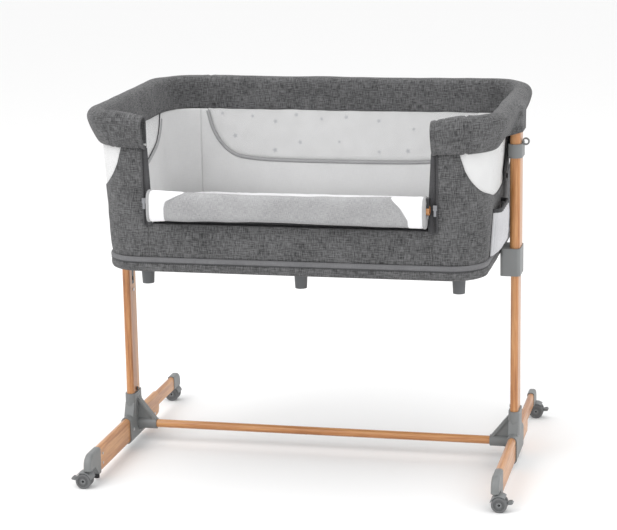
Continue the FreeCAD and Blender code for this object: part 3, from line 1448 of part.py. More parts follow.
def mattress_shape():
    """Cushion with rounded edges that draws in at its corners and is highest in the middle."""
    edge = S.base_wall + S.mattress_gap
    half_length = number(BASE_HALF_LENGTH - edge)
    half_depth = number(BASE_HALF_DEPTH - edge)
    radius = number(S.mattress_corner)
    low = number(BOARD_FOOT + S.board_thickness + S.rest_gap)
    thick = number(S.mattress_thickness)
    crown = number(S.mattress_crown)
    drawn_in = thick / 4
    steps = (
        # share of the thickness, share of the drawing-in
        (0.0, 1.0), (0.12, 0.35), (0.5, 0.0), (0.86, 0.35), (1.0, 1.0))
    wires = []
    for rise, inwards in steps:
        inset = drawn_in * inwards
        wires.append(plan_wire(
            half_length - inset, half_depth - inset, radius - inset, low + thick * rise))
    for share in (1 / 3, 2 / 3, 1):
        inset = drawn_in + radius * share * 0.75
        wires.append(plan_wire(
            half_length - inset, half_depth - inset, radius + drawn_in - inset * 0.9,
            low + thick + crown * math.sin(share * math.pi / 2)))
    return Part.makeLoft(wires, True, True)


mattress = doc.addObject("Part::Feature", "mattress_form")
mattress.Shape = mattress_shape()
node("mattress", mattress)

feet = []
for column in (-1, 0, 1):
    for line in (-1, 1):
        foot = doc.addObject("Part::Cone", "foot_%d_%d" % (column + 2, line + 2))
        bind(foot, "Radius1", S.foot_bottom / 2)
        bind(foot, "Radius2", S.foot_top / 2)
        bind(foot, "Height", S.foot_height)
        feet.append(place(
            foot, (BASE_HALF_LENGTH - S.foot_inset) * column,
            (BASE_HALF_DEPTH - S.foot_setback) * line, S.basket_bottom - S.foot_height))
node("basket_feet", group("foot_group", feet))

# ---------------------------------------------------------------- drop side

RAIL_HALF = HALF_GAP - S.rail_clearance
PANEL_HALF = HALF_GAP - S.panel_clearance

drop_rail = new_body("drop_rail")
rail_section = sketch_on(drop_rail, "YZ_Plane")
circle(rail_section, S.rail_diameter, -RIM_Y, S.rail_height)
circle(rail_section, S.rail_diameter - 2 * S.rail_wall, -RIM_Y, S.rail_height)
pad(drop_rail, rail_section, 2 * RAIL_HALF, both=True)
node("drop_rail", drop_rail)

drop_panel = new_body("drop_panel")
panel_section = sketch_on(drop_panel, "YZ_Plane")
panel_half = S.panel_thickness / 2
rounded_path(panel_section, [
    (-RIM_Y + panel_half, S.rail_height - S.panel_bottom),
    (-RIM_Y + panel_half, S.rail_height + S.panel_top),
    (-RIM_Y - panel_half, S.rail_height + S.panel_top),
    (-RIM_Y - panel_half, S.rail_height - S.panel_bottom),
], S.panel_round)
circle(panel_section, S.rail_diameter + 2 * S.rest_gap, -RIM_Y, S.rail_height)
pad(drop_panel, panel_section, 2 * PANEL_HALF, both=True)
node("drop_panel", drop_panel)

locks = []
for side, sign, _ in SIDES:
    ends = sorted(
        ((RAIL_HALF - S.lock_length) * sign, RAIL_HALF * sign), key=number)
    block = box(
        "lock_block_" + side, (ends[0], -RIM_Y - S.lock_width / 2, S.rail_height),
        (ends[1], -RIM_Y + S.lock_width / 2, S.rail_height + S.lock_height))
    rod = cylinder("lock_bore_" + side, S.rail_diameter + 2 * S.fit_gap,
                   2 * HALF_GAP, -HALF_GAP, -RIM_Y, S.rail_height, Vector(0, 1, 0), 90)
    locks.append(cut("rail_lock_" + side, block, rod))
node("rail_locks", group("lock_group", locks))

fold_face = RIM_Y - panel_half - S.slide_gap
drop_fold = box(
    "drop_fold_block", (-RAIL_HALF, -fold_face, FRONT_WALL_TOP),
    (RAIL_HALF, -fold_face + S.fold_depth, FRONT_WALL_TOP + S.fold_height))
node("drop_mesh", drop_fold)


def zip_slider(label):
    """Slider and hanging pull, in front of the zip tape."""
    body = new_body(label)
    face = TAPE_FACE + S.rest_gap
    rise = S.rail_height - S.slider_drop
    runner = sketch_on(body, "XZ_Plane", face)
    half = S.slider_width / 2
    rectangle(runner, -half, half, rise, rise + S.slider_height)
    pad(body, runner, S.slider_depth)
    pull = sketch_on(body, "XZ_Plane", face + S.slider_depth / 2)
    rectangle(pull, -S.pull_width / 2, S.pull_width / 2,
              rise + S.slider_height / 2 - S.pull_length,
              rise + S.slider_height / 2)
    pad(body, pull, S.slider_depth / 2 + 1)
    return body


for side, sign, _ in SIDES:
    label = "zip_slider_" + side
    node(label, place(zip_slider(label), (TAPE_IN + S.tape_width / 2) * sign))

# ---------------------------------------------------------------- check and write

doc.recompute()
faults = [
    "%s: %s" % (item.Label, item.State) for item in doc.Objects
    if "Invalid" in item.State or "Error" in item.State]
for name, feature in NODES.items():
    shape = feature.Shape
    if shape.isNull() or not shape.isValid() or not shape.Solids:
        faults.append("%s has no sound solid" % name)
if faults:
    raise SystemExit("\n".join(faults))

os.makedirs("parts", exist_ok=True)
for name, feature in NODES.items():
    feature.Shape.exportStep("parts/%s.step" % name)
    reach = feature.Shape.BoundBox
    print("%-28s %d  %8.1f..%-8.1f %8.1f..%-8.1f %8.1f..%-8.1f" % (
        name, len(feature.Shape.Solids), reach.XMin, reach.XMax, reach.YMin, reach.YMax,
        reach.ZMin, reach.ZMax))
print(len(NODES), "nodes")
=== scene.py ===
# %% [markdown]
# # Dressing a bedside sleeper crib
#
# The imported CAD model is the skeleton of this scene: tubes, brackets, casters and plain
# blocks for everything that is cloth. Here the hard pieces get their finishes, and the cloth
# pieces are sewn again as cloth. Everything is in metres, +X along the crib, +Y to its back.

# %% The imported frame
import math

import bmesh
import bpy
import numpy as np
from mathutils import Matrix, Vector, noise


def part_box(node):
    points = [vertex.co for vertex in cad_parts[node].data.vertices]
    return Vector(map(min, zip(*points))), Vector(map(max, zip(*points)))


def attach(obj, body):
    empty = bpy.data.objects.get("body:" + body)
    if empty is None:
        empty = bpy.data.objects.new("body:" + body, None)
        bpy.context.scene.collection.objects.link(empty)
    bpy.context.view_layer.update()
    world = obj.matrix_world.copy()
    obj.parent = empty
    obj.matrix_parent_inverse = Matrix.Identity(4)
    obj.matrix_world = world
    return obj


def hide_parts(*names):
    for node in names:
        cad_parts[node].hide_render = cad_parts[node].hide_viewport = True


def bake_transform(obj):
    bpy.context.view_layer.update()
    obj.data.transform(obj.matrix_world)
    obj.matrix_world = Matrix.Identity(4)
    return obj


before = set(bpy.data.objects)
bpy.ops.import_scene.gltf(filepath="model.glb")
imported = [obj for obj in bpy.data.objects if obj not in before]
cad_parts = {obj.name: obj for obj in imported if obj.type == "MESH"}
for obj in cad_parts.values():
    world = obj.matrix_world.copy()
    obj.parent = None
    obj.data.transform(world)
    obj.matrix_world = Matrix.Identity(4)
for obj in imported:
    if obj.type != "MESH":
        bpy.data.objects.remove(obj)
show = bpy.context.scene.collection.objects.link
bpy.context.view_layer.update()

# %% [markdown]
# ## The camera
#
# A product photograph is taken from far away with a long lens, so its straight lines hardly
# lean together. The place and the lens below come from fitting the two posts and the rim of
# the model to the photograph. A camera looks along its own -Z, so its matrix is built from
# three directions: right, up and backwards.

# %% Camera
FOCAL_PIXELS = 2044.4
PHOTO_WIDTH = 617.0
SENSOR = 36.0


def aim_camera(place, turn, tilt, roll):
    """A camera at a place, turned and tilted by degrees."""
    turn, tilt, roll = (math.radians(a) for a in (turn, tilt, roll))
    back = Vector((math.sin(turn) * math.cos(tilt), -math.cos(turn) * math.cos(tilt),
                   math.sin(tilt)))
    right = (-back).cross(Vector((0, 0, 1))).normalized()
    up = right.cross(-back)
    level, lean = math.cos(roll), math.sin(roll)
    x_axis = level * right + lean * up
    y_axis = -lean * right + level * up
    camera = bpy.data.objects.new("camera", bpy.data.cameras.new("camera"))
    camera.matrix_world = Matrix((
        (x_axis.x, y_axis.x, back.x, place[0]),
        (x_axis.y, y_axis.y, back.y, place[1]),
        (x_axis.z, y_axis.z, back.z, place[2]),
        (0, 0, 0, 1)))
    camera.data.sensor_width = SENSOR
    camera.data.lens = FOCAL_PIXELS / PHOTO_WIDTH * SENSOR
    show(camera)
    bpy.context.scene.camera = camera
    return camera


camera = aim_camera(place=(0.941, -4.222, 1.396), turn=12.84, tilt=12.68, roll=-1.0)
print("lens", round(camera.data.lens, 1), "mm")

# %% [markdown]
# ## Studio
#
# The photograph is a cut-out on white with a faint shadow under the base. A large pale floor,
# an almost white sky and three soft area lights give the same: no hard shadow, a little more
# light from the upper left, and darker insides where the cloth faces away.

# %% Floor and lights


def area_light(name, place, size, watts):
    """A square soft light that looks at the crib."""
    lamp = bpy.data.objects.new(name, bpy.data.lights.new(name, "AREA"))
    lamp.data.size = size
    lamp.data.energy = watts
    lamp.location = place
    away = Vector(place) - Vector((0, 0, 0.5))
    lamp.rotation_euler = away.to_track_quat("Z", "Y").to_euler()
    show(lamp)


floor_mesh = bpy.data.meshes.new("studio_floor")
FLOOR = 30
floor_mesh.from_pydata([(-FLOOR, -FLOOR, 0), (FLOOR, -FLOOR, 0), (FLOOR, FLOOR, 0),
                        (-FLOOR, FLOOR, 0)], [], [(0, 1, 2, 3)])
studio_floor = bpy.data.objects.new("studio_floor", floor_mesh)
paper = bpy.data.materials.new("paper")
paper.use_nodes = True
shader = paper.node_tree.nodes["Principled BSDF"]
shader.inputs["Base Color"].default_value = (0.9, 0.9, 0.9, 1)
shader.inputs["Roughness"].default_value = 1.0
floor_mesh.materials.append(paper)
show(studio_floor)
area_light("key", (-1.6, -2.2, 2.8), size=2.2, watts=46)
area_light("fill", (2.6, -1.6, 1.6), size=2.0, watts=16)
area_light("top", (0, 0.4, 3.2), size=3.4, watts=30)
sky = bpy.data.worlds.new("studio_sky")
sky.use_nodes = True
backdrop = sky.node_tree.nodes["Background"]
backdrop.inputs["Color"].default_value = (1, 1, 1, 1)
backdrop.inputs["Strength"].default_value = 1.05
bpy.context.scene.world = sky
bpy.context.scene.view_settings.view_transform = "Standard"

# %% [markdown]
# ## Finishes
#
# Each finish is a small node tree round one Principled shader. A short helper adds a node,
# sets its fields and connects its inputs, so that a recipe reads from top to bottom.
# Colours are given as the eye reads them from a screen and turned into linear light.

# %% Node helpers


def linear(red, green, blue):
    """Screen colour from 0 to 255 as linear light."""
    parts = [c / 255 for c in (red, green, blue)]
    light = [c / 12.92 if c <= 0.04045 else ((c + 0.055) / 1.055) ** 2.4 for c in parts]
    return (*light, 1.0)


class Nodes:
    """A node tree that is built node by node."""

    def node(self, kind, fields=None, **inputs):
        """A new node; an input is a number or another node's output, _0 is the first one."""
        made = self.tree.nodes.new(kind)
        for field, value in (fields or {}).items():
            setattr(made, field, value)
        for key, value in inputs.items():
            number = key[1:]
            socket = made.inputs[int(number) if number.isdigit() else key.replace("_", " ")]
            if isinstance(value, bpy.types.NodeSocket):
                self.tree.links.new(value, socket)
            else:
                socket.default_value = value
        return made


class Finish(Nodes):
    """A material round one Principled shader."""

    def __init__(self, name, roughness, **sockets):
        self.material = bpy.data.materials.new(name)
        self.material.use_nodes = True
        self.tree = self.material.node_tree
        self.shader = self.tree.nodes["Principled BSDF"]
        self.shader.inputs["Roughness"].default_value = roughness
        for socket, value in sockets.items():
            self.shader.inputs[socket.replace("_", " ")].default_value = value

    def coordinates(self, source, scale=(1, 1, 1)):
        """Object places or the cloth's own UV map, stretched."""
        if source == "cloth":
            start = self.node("ShaderNodeUVMap", {"uv_map": "cloth"}).outputs["UV"]
        else:
            start = self.node("ShaderNodeTexCoord").outputs["Object"]
        return self.node("ShaderNodeMapping", None, Vector=start, Scale=scale).outputs[0]

    def speckle(self, where, size, detail=2.0, roughness=0.5):
        return self.node("ShaderNodeTexNoise", None, Vector=where, Scale=size, Detail=detail,
                         Roughness=roughness).outputs["Fac"]

    def sums(self, kind, first, second=0.0, third=0.0):
        """One step of arithmetic."""
        return self.node("ShaderNodeMath", {"operation": kind}, _0=first, _1=second,
                         _2=third).outputs[0]

    def ramp(self, value, stops):
        """Colours at places from 0 to 1."""
        made = self.node("ShaderNodeValToRGB", None, Fac=value)
        colours = made.color_ramp.elements
        while len(colours) < len(stops):
            colours.new(0.5)
        for stop, (place, colour) in zip(colours, stops):
            stop.position = place
            stop.color = colour
        return made.outputs["Color"]

    def colour(self, value, stops):
        self.tree.links.new(self.ramp(value, stops), self.shader.inputs["Base Color"])

    def mottled(self, noise_value, colour, share, edge=0.3):
        """The colour, dimmed to a share of its light where the noise is low."""
        dim = tuple(c * share for c in colour[:3]) + (1.0,)
        self.colour(noise_value, [(edge, dim), (1 - edge, colour)])

    def waves(self, kind, pitch):
        """Two waves of the cloth's own UVs, multiplied."""
        parts = self.node("ShaderNodeSeparateXYZ", None, Vector=self.coordinates("cloth"))
        return self.sums("MULTIPLY", *[
            self.sums(kind, self.sums("MULTIPLY", parts.outputs[i], math.tau / pitch))
            for i in (0, 1)])

    def bump(self, height, distance, strength=1.0):
        made = self.node("ShaderNodeBump", None, Height=height, Distance=distance,
                         Strength=strength)
        self.tree.links.new(made.outputs[0], self.shader.inputs["Normal"])
        return self.material


# %% [markdown]
# ### Melange cloth
#
# The grey cloth is woven from threads of several greys, so close up it is a fine plain weave,
# and from a step away it has short streaks along both threads. The weave is the product of
# two sine waves; the streaks are two noises, each stretched along one thread. Both read the
# cloth's own UV map, which is in metres, so the cloth runs round corners without sliding.

# %% Cloth finishes


def cloth_finish(name, dark, light, streaks, thread=0.0011, depth=0.00012, fine=1.0):
    """Plain weave with streaks along both threads; a larger fine makes shorter streaks."""
    made = Finish(name, 0.92, Sheen_Weight=0.08, Sheen_Roughness=0.6)
    across = made.speckle(made.coordinates("cloth", (56 * fine, 640 * fine, 1)), 1.0, 3.0, 0.62)
    upright = made.speckle(made.coordinates("cloth", (640 * fine, 66 * fine, 1)), 1.0, 3.0, 0.62)
    patches = made.speckle(made.coordinates("cloth", (14, 14, 1)), 1.0, 2.0)
    mixed = made.sums("ADD", across, upright)
    mixed = made.sums("MULTIPLY_ADD", mixed, 0.5 * streaks, 0.5 - 0.5 * streaks)
    mixed = made.sums("MULTIPLY_ADD", patches, 0.22, made.sums("SUBTRACT", mixed, 0.11))
    weave = made.waves("SINE", thread)
    mixed = made.sums("MULTIPLY_ADD", weave, 0.05, mixed)
    made.colour(mixed, [(0.34, linear(*dark)), (0.66, linear(*light))])
    return made.bump(made.sums("MULTIPLY_ADD", upright, 1.4, weave), depth)


grey_melange = cloth_finish("grey_melange", (36, 36, 37), (106, 106, 107), 1.7)
dark_binding = cloth_finish("dark_binding", (44, 44, 46), (76, 76, 78), 0.8)
panel_marl = cloth_finish("panel_marl", (128, 128, 129), (176, 176, 177), 1.0, fine=1.7)
white_cloth = cloth_finish("white_cloth", (232, 232, 234), (246, 246, 247), 0.5)
pale_lining = cloth_finish("pale_lining", (196, 196, 196), (212, 212, 212), 0.4, thread=0.0008,
                           depth=0.00006)
grey_ribbon = cloth_finish("grey_ribbon", (142, 142, 143), (170, 170, 171), 0.7)
pale_tape = cloth_finish("pale_tape", (88, 88, 90), (120, 120, 122), 0.6)
print("cloth finishes ready")

# %% [markdown]
# ### Window mesh
#
# The windows are an airy knit. Cutting real holes would cost millions of faces, so the holes
# are in the alpha of the material: two sine waves multiplied leave a small round gap at each
# crossing. The knit is white and lets a good part of what lies behind shine through.

# %% Window mesh finish


def mesh_finish(name, tint, solid, pitch=0.0022):
    """White knit with a regular pattern of small gaps."""
    made = Finish(name, 0.8, Sheen_Weight=0.1)
    gaps = made.waves("COSINE", pitch)
    knit = made.node("ShaderNodeMapRange", None, Value=gaps, From_Min=0.1, From_Max=0.6,
                     To_Min=1.0, To_Max=solid).outputs[0]
    made.tree.links.new(knit, made.shader.inputs["Alpha"])
    shade = made.speckle(made.coordinates("cloth", (30, 30, 1)), 1.0)
    made.mottled(shade, linear(*tint), 0.94)
    return made.bump(made.sums("MULTIPLY", gaps, -1.0), 0.0002)


window_mesh = mesh_finish("window_mesh", (212, 212, 212), 0.5)
end_mesh = mesh_finish("end_mesh", (226, 226, 226), 0.55)
pocket_net = mesh_finish("pocket_net", (206, 206, 209), 0.55, 0.0024)
print("mesh finishes ready")

# %% [markdown]
# ### Wood-look tubes
#
# The tubes are steel under a printed film with beech grain. The grain is noise that is
# stretched 25 times along the tube, so there is one finish for upright tubes, one for
# those along the crib and one for the legs. The lacquer gives a soft highlight.

# %% Wood-look and hard finishes


def wood_finish(name, stretch):
    """Printed beech grain that runs along the small component of stretch."""
    made = Finish(name, 0.36, Coat_Weight=0.25, Coat_Roughness=0.25)
    grain = made.speckle(made.coordinates("object", stretch), 1.0, 5.0, 0.62)
    cloud = made.speckle(made.coordinates("object", tuple(s * 0.16 for s in stretch)), 1.0)
    pores = made.speckle(made.coordinates("object", tuple(s * 4 for s in stretch)), 1.0, 2.0)
    mixed = made.sums("MULTIPLY_ADD", cloud, 0.5, made.sums("MULTIPLY", grain, 0.55))
    mixed = made.sums("MULTIPLY_ADD", pores, 0.12, mixed)
    made.colour(mixed, [(0.36, linear(116, 70, 36)), (0.52, linear(172, 114, 66)),
                        (0.70, linear(204, 150, 98))])
    return made.bump(grain, 0.00008, 0.6)


def plastic_finish(name, colour, roughness, grain=0.00005):
    """Moulded plastic with a fine spark-eroded surface."""
    made = Finish(name, roughness)
    fine = made.speckle(made.coordinates("object", (2600, 2600, 2600)), 1.0, 2.0)
    flow = made.speckle(made.coordinates("object", (16, 16, 16)), 1.0, 2.0)
    made.mottled(flow, linear(*colour), 0.86)
    return made.bump(fine, grain)


def metal_finish(name, colour, roughness):
    """Bare or plated metal with faint brushing."""
    made = Finish(name, roughness, Metallic=1.0)
    lines = made.speckle(made.coordinates("object", (1500, 1500, 60)), 1.0, 3.0)
    made.mottled(lines, linear(*colour), 0.85)
    return made.bump(lines, 0.00002)


wood_upright = wood_finish("wood_upright", (230, 230, 9))
wood_lengthwise = wood_finish("wood_lengthwise", (9, 230, 230))
wood_legs = wood_finish("wood_legs", (230, 9, 230))
bracket_grey = plastic_finish("bracket_grey", (122, 124, 124), 0.45)
caster_grey = plastic_finish("caster_grey", (118, 120, 121), 0.45)
foot_grey = plastic_finish("foot_grey", (92, 94, 96), 0.5)
lock_black = plastic_finish("lock_black", (34, 34, 36), 0.4)
tread_rubber = plastic_finish("tread_rubber", (104, 105, 106), 0.7, 0.0001)
sole_rubber = plastic_finish("sole_rubber", (38, 38, 39), 0.75, 0.0001)
pin_steel = metal_finish("pin_steel", (205, 206, 208), 0.3)
zip_silver = metal_finish("zip_silver", (150, 151, 154), 0.32)
tube_steel = metal_finish("tube_steel", (190, 191, 193), 0.35)
FINISH_OF = {
    "lower_post": wood_upright, "upper_post": wood_upright, "crossbar": wood_lengthwise,
    "drop_rail": wood_lengthwise, "front_leg_cap": bracket_grey, "front_leg": wood_legs,
    "rear_leg_cap": bracket_grey, "rear_leg": wood_legs, "bracket": bracket_grey,
    "height_sleeve": bracket_grey, "hook_collars": bracket_grey, "rim_saddles": bracket_grey,
    "height_racks": lock_black, "rail_locks": lock_black, "release_button": lock_black,
    "post_button": lock_black, "basket_feet": foot_grey, "caster_hood": caster_grey,
    "brake_pedal": caster_grey, "caster_wheels": tread_rubber, "leg_pads": sole_rubber,
    "leg_rivets": pin_steel, "stand_screws": pin_steel, "zip_slider": zip_silver,
    "rim_tube": tube_steel, "base_frame": tube_steel, "bottom_board": foot_grey,
}
for node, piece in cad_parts.items():
    for start in sorted(FINISH_OF, key=len, reverse=True):
        if node.startswith(start):
            piece.data.materials.clear()
            piece.data.materials.append(FINISH_OF[start])
            break
print(len(FINISH_OF), "hard finishes on", len(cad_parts), "nodes")

# %% [markdown]
# ## Sewing
#
# Every cloth piece below is one or more grids of points. A grid has its UVs in metres of
# cloth, and grids that share an edge are welded, so a padded piece ends up as one closed
# skin. `Sewing` collects the grids and makes the mesh.

# %% Sewing helpers
WELD = 2e-5
STEPS = 24  # points between two knots of a curve
SIDES = (("left", -1), ("right", 1))


class Sewing:
    """Grids of points that become one welded mesh."""

    def __init__(self):
        self.points, self.faces, self.uvs, self.slots = [], [], [], []
        self.count = 0

    def grid(self, points, uv, slot=0, flip=False):
        rows, columns = points.shape[:2]
        row, column = np.meshgrid(np.arange(rows - 1), np.arange(columns - 1), indexing="ij")
        first = (row * columns + column).ravel()
        ring = np.stack([first, first + 1, first + columns + 1, first + columns], 1)
        if flip:
            ring = ring[:, ::-1]
        self.points.append(points.reshape(-1, 3))
        self.faces.append(ring + self.count)
        self.uvs.append(uv.reshape(-1, 2)[ring])
        self.slots.append(np.full(len(ring), slot))
        self.count += rows * columns

    def edges(self, front, back, uv, slot=0):
        """Four strips that join the edges of two grids."""
        for index in (0, -1):
            self.grid(np.stack([front[index], back[index]]), uv[:2], slot)
            self.grid(np.stack([front[:, index], back[:, index]]), uv[:, :2].swapaxes(0, 1), slot)

    def polygon(self, points, flip=False):
        """One flat face through the points, with its UVs in plan."""
        order = np.arange(len(points))[::-1] if flip else np.arange(len(points))
        self.points.append(points)
        self.faces.append([order + self.count])
        self.uvs.append([points[order][:, :2]])
        self.slots.append(np.array([0]))
        self.count += len(points)

    def mesh(self, name, recalculate=True):
        mesh = bpy.data.meshes.new(name)
        faces = [tuple(int(i) for i in f) for block in self.faces for f in block]
        mesh.from_pydata(np.concatenate(self.points).tolist(), [], faces)
        layer = mesh.uv_layers.new(name="cloth")
        corners = np.concatenate([np.asarray(f).reshape(-1, 2) for b in self.uvs for f in b])
        layer.data.foreach_set("uv", corners.astype(np.float32).ravel())
        slots = np.concatenate(self.slots).astype(np.int32)
        mesh.polygons.foreach_set("material_index", slots)
        work = bmesh.new()
        work.from_mesh(mesh)
        bmesh.ops.remove_doubles(work, verts=work.verts, dist=WELD)
        bmesh.ops.dissolve_degenerate(work, dist=1e-6, edges=work.edges)
        if recalculate:
            bmesh.ops.recalc_face_normals(work, faces=work.faces)
        work.to_mesh(mesh)
        work.free()
        mesh.polygons.foreach_set("use_smooth", [True] * len(mesh.polygons))
        return mesh


def add_piece(name, mesh, finishes, replaced=(), body="basket"):
    """A finished piece that rides on a body and stands in for the replaced nodes."""
    piece = bpy.data.objects.new(name, mesh)
    show(piece)
    for finish in finishes:
        mesh.materials.append(finish)
    if body:
        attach(piece, body)
    if replaced:
        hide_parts(*replaced)
    print(name, len(mesh.polygons), "faces")
    return piece


def coords(*parts):
    """Coordinates that are each spread over one whole grid."""
    return np.stack(np.broadcast_arrays(*parts), -1)


def unit(vectors):
    return vectors / np.maximum(np.linalg.norm(vectors, axis=-1, keepdims=True), 1e-12)


def left_of(along):
    """Unit vectors to the left of the given ones, in their plane."""
    along = unit(along)
    return coords(-along[:, 1], along[:, 0])


def normals_of(points):
    """Unit normals of a grid of points."""
    return unit(np.cross(np.gradient(points, axis=0), np.gradient(points, axis=1)))


def wobble(points, size, seed=0.0):
    """Smooth noise at each point, from about -1 to 1."""
    flat = points.reshape(-1, 3) / size + seed
    values = [noise.noise(Vector(p)) for p in flat]
    return np.array(values).reshape(points.shape[:-1])


def bell(distance, width):
    """1 at no distance, falling to 0 beyond the width."""
    return np.exp(-(np.asarray(distance) / width) ** 2)


def smooth_through(knots, count, closed=False):
    """Evenly spaced points on a smooth curve through the knots."""
    knots = np.asarray(knots, float)
    if closed:
        padded = np.concatenate([knots[-1:], knots, knots[:2]])
    else:
        padded = np.concatenate([2 * knots[:1] - knots[1:2], knots,
                                 2 * knots[-1:] - knots[-2:-1]])
    dense = []
    for before, start, end, after in zip(padded, padded[1:], padded[2:], padded[3:]):
        for t in np.arange(STEPS) / STEPS:
            dense.append(0.5 * (2 * start + (end - before) * t
                                + (2 * before - 5 * start + 4 * end - after) * t ** 2
                                + (3 * start - before - 3 * end + after) * t ** 3))
    dense.append(knots[0] if closed else knots[-1])
    return resample(np.array(dense), np.linspace(0, 1, count))


def run_lengths(line):
    """Distance from the start of a line to each of its points."""
    return np.concatenate([[0], np.cumsum(np.linalg.norm(np.diff(line, axis=0), axis=1))])


def resample(line, shares):
    """Points of a line at shares of its length."""
    lengths = run_lengths(line)
    wanted = np.asarray(shares) * lengths[-1]
    return np.stack([np.interp(wanted, lengths, line[:, i]) for i in range(line.shape[1])], 1)


# %% [markdown]
# ## The padded rim
#
# The rim is a tube of padded cloth that is pulled over a steel loop, open at the front.
# In section it is a teardrop: upright on the inside, round on top, and drawn in under the
# outside to a narrow foot where it is sewn to the wall. The same section is carried along
# the C-shaped line; a second, smaller section makes the inside, so the two front ends are
# open. Over each post the cloth bulges out, because the post's top is inside it.

# %% Rim line and section
low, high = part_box("upper_post_right")
POST_X = (low.x + high.x) / 2
low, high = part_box("rim_cover")
BAND = 0.040
RIM_X = POST_X - 0.010
RIM_Y = high.y - BAND / 2
RIM_BEND = 0.090
RIM_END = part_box("front_wall")[1].x
RIM_FOOT = low.z
RIM_TOP = high.z
POST_HALF = 0.032  # half the post's depth
BULGE = 0.0165  # how far the cloth stands out from the post's axis
RIM_CLOTH = 0.0035
FREE_END = 0.056  # length of each front end that nothing holds up
END_DROOP = 0.011


def arc(centre, radius, first, last, count=24):
    """Points of an arc between two angles in degrees."""
    angles = np.radians(np.linspace(first, last, count))
    return coords(centre[0] + radius * np.cos(angles), centre[1] + radius * np.sin(angles))


def rim_line():
    """The C-shaped line of the rim, from its left front end to its right front end."""
    x, y = RIM_X - RIM_BEND, RIM_Y - RIM_BEND
    return np.concatenate([
        [(-RIM_END, -RIM_Y)], arc((-x, -y), RIM_BEND, -90, -180), arc((-x, y), RIM_BEND, 180, 90),
        arc((x, y), RIM_BEND, 90, 0), arc((x, -y), RIM_BEND, 0, -90), [(RIM_END, -RIM_Y)]])


SECTION = np.array([
    # outwards from the line, height above the rim's foot, millimetres
    (-19.3, 3), (-20.0, 16), (-20.0, 40), (-19.6, 58), (-16.4, 69.5), (-8, 75.4),
    (2, 76.2), (11, 72.8), (17.6, 65), (19.7, 55), (15.4, 38), (8.6, 22), (1.2, 8.5),
    (-5, 1.5), (-12.5, -0.6)]) / 1000 + np.array([0, RIM_FOOT])


def rim_surface(shares, section, inside):
    """Points of the rim at shares of its line, for every point of the section."""
    line = resample(rim_line(), shares)
    ahead = resample(rim_line(), np.clip(shares + 1e-4, 0, 1))
    behind = resample(rim_line(), np.clip(shares - 1e-4, 0, 1))
    out = left_of(ahead - behind)
    offset = np.repeat(section[None, :, 0], len(shares), 0)
    height = np.repeat(section[None, :, 1], len(shares), 0)
    over_post = bell(np.maximum(np.abs(line[:, 1]) - POST_HALF, 0), 0.010)
    over_post *= np.abs(line[:, 0]) > RIM_X - 0.01
    reach = POST_X - RIM_X + BULGE - (RIM_CLOTH if inside else 0.0)
    outer = (offset > -0.009) & (height < RIM_TOP - 0.006)
    level = np.clip((RIM_TOP - 0.008 - height) / 0.010, 0, 1)
    wanted = np.where(outer & (offset < reach), offset + (reach - offset) * level, offset)
    offset = offset + (wanted - offset) * over_post[:, None]
    lift = over_post[:, None] * bell(section[None, :, 1] - RIM_FOOT, 0.012) * 0.008
    height = height + np.where(outer, lift, 0)
    free_end = np.clip((RIM_END + FREE_END - np.abs(line[:, 0])) / FREE_END, 0, 1)
    free_end *= line[:, 1] < 0
    droop = 0.2 + 0.8 * (section[None, :, 1] - RIM_FOOT) / (RIM_TOP - RIM_FOOT)
    height = height - END_DROOP * (free_end ** 1.7)[:, None] * droop
    plan = line[:, None, :] + out[:, None, :] * offset[:, :, None]
    return np.concatenate([plan, height[:, :, None]], 2)


def offset_section(section, distance):
    """The closed section moved inwards by a distance."""
    inwards = left_of(np.roll(section, -1, 0) - np.roll(section, 1, 0))
    turned = np.sign(np.sum((section.mean(0) - section) * inwards))
    return section + inwards * turned * distance


# %% [markdown]
# The seams of the rim are where its cloth panels meet: one near each front end and one in
# the left back corner. The thread pulls the padding down, so each seam is a narrow dip right
# round the section. Each front end has a hem with one row of stitches.

# %% Rim cover
rim_length = run_lengths(rim_line())[-1]
rim_stations = np.unique(np.concatenate([
    np.linspace(0, 1, 380), np.linspace(0, 0.012, 12), np.linspace(0.988, 1, 12)]))
RIM_SEAMS = (0.034, 0.352, 0.966)
SEAM = 0.0022  # width and depth of the dip along a seam


def away_from_middle(points):
    """Unit normals of a grid round the rim, pointing out of it."""
    normals = normals_of(points)
    return normals * np.sign(np.sum(normals * (points - points.mean(1, keepdims=True))))


def dressed_rim(section, inside):
    """The rim's surface with soft waves, seams and hems; the inside moves half as much."""
    points = rim_surface(rim_stations, section, inside)
    push = wobble(points, 0.045) * 0.0011 + wobble(points, 0.16, 3.0) * 0.0016
    distance = rim_stations * rim_length
    for seam in RIM_SEAMS:
        place = distance - seam * rim_length
        push -= (bell(place, SEAM) * SEAM)[:, None]
        push += (bell(np.abs(place) - 0.009, 0.006) * 0.0008)[:, None]
    for end in (0, rim_length):
        from_end = np.abs(distance - end)
        push += (np.clip(1 - from_end / 0.009, 0, 1) ** 0.3 * 0.0012)[:, None]
        push -= (bell(from_end - 0.0105, 0.0016) * 0.0016)[:, None]
    push *= 0.5 if inside else 1.0
    return points + away_from_middle(points) * push[:, :, None]


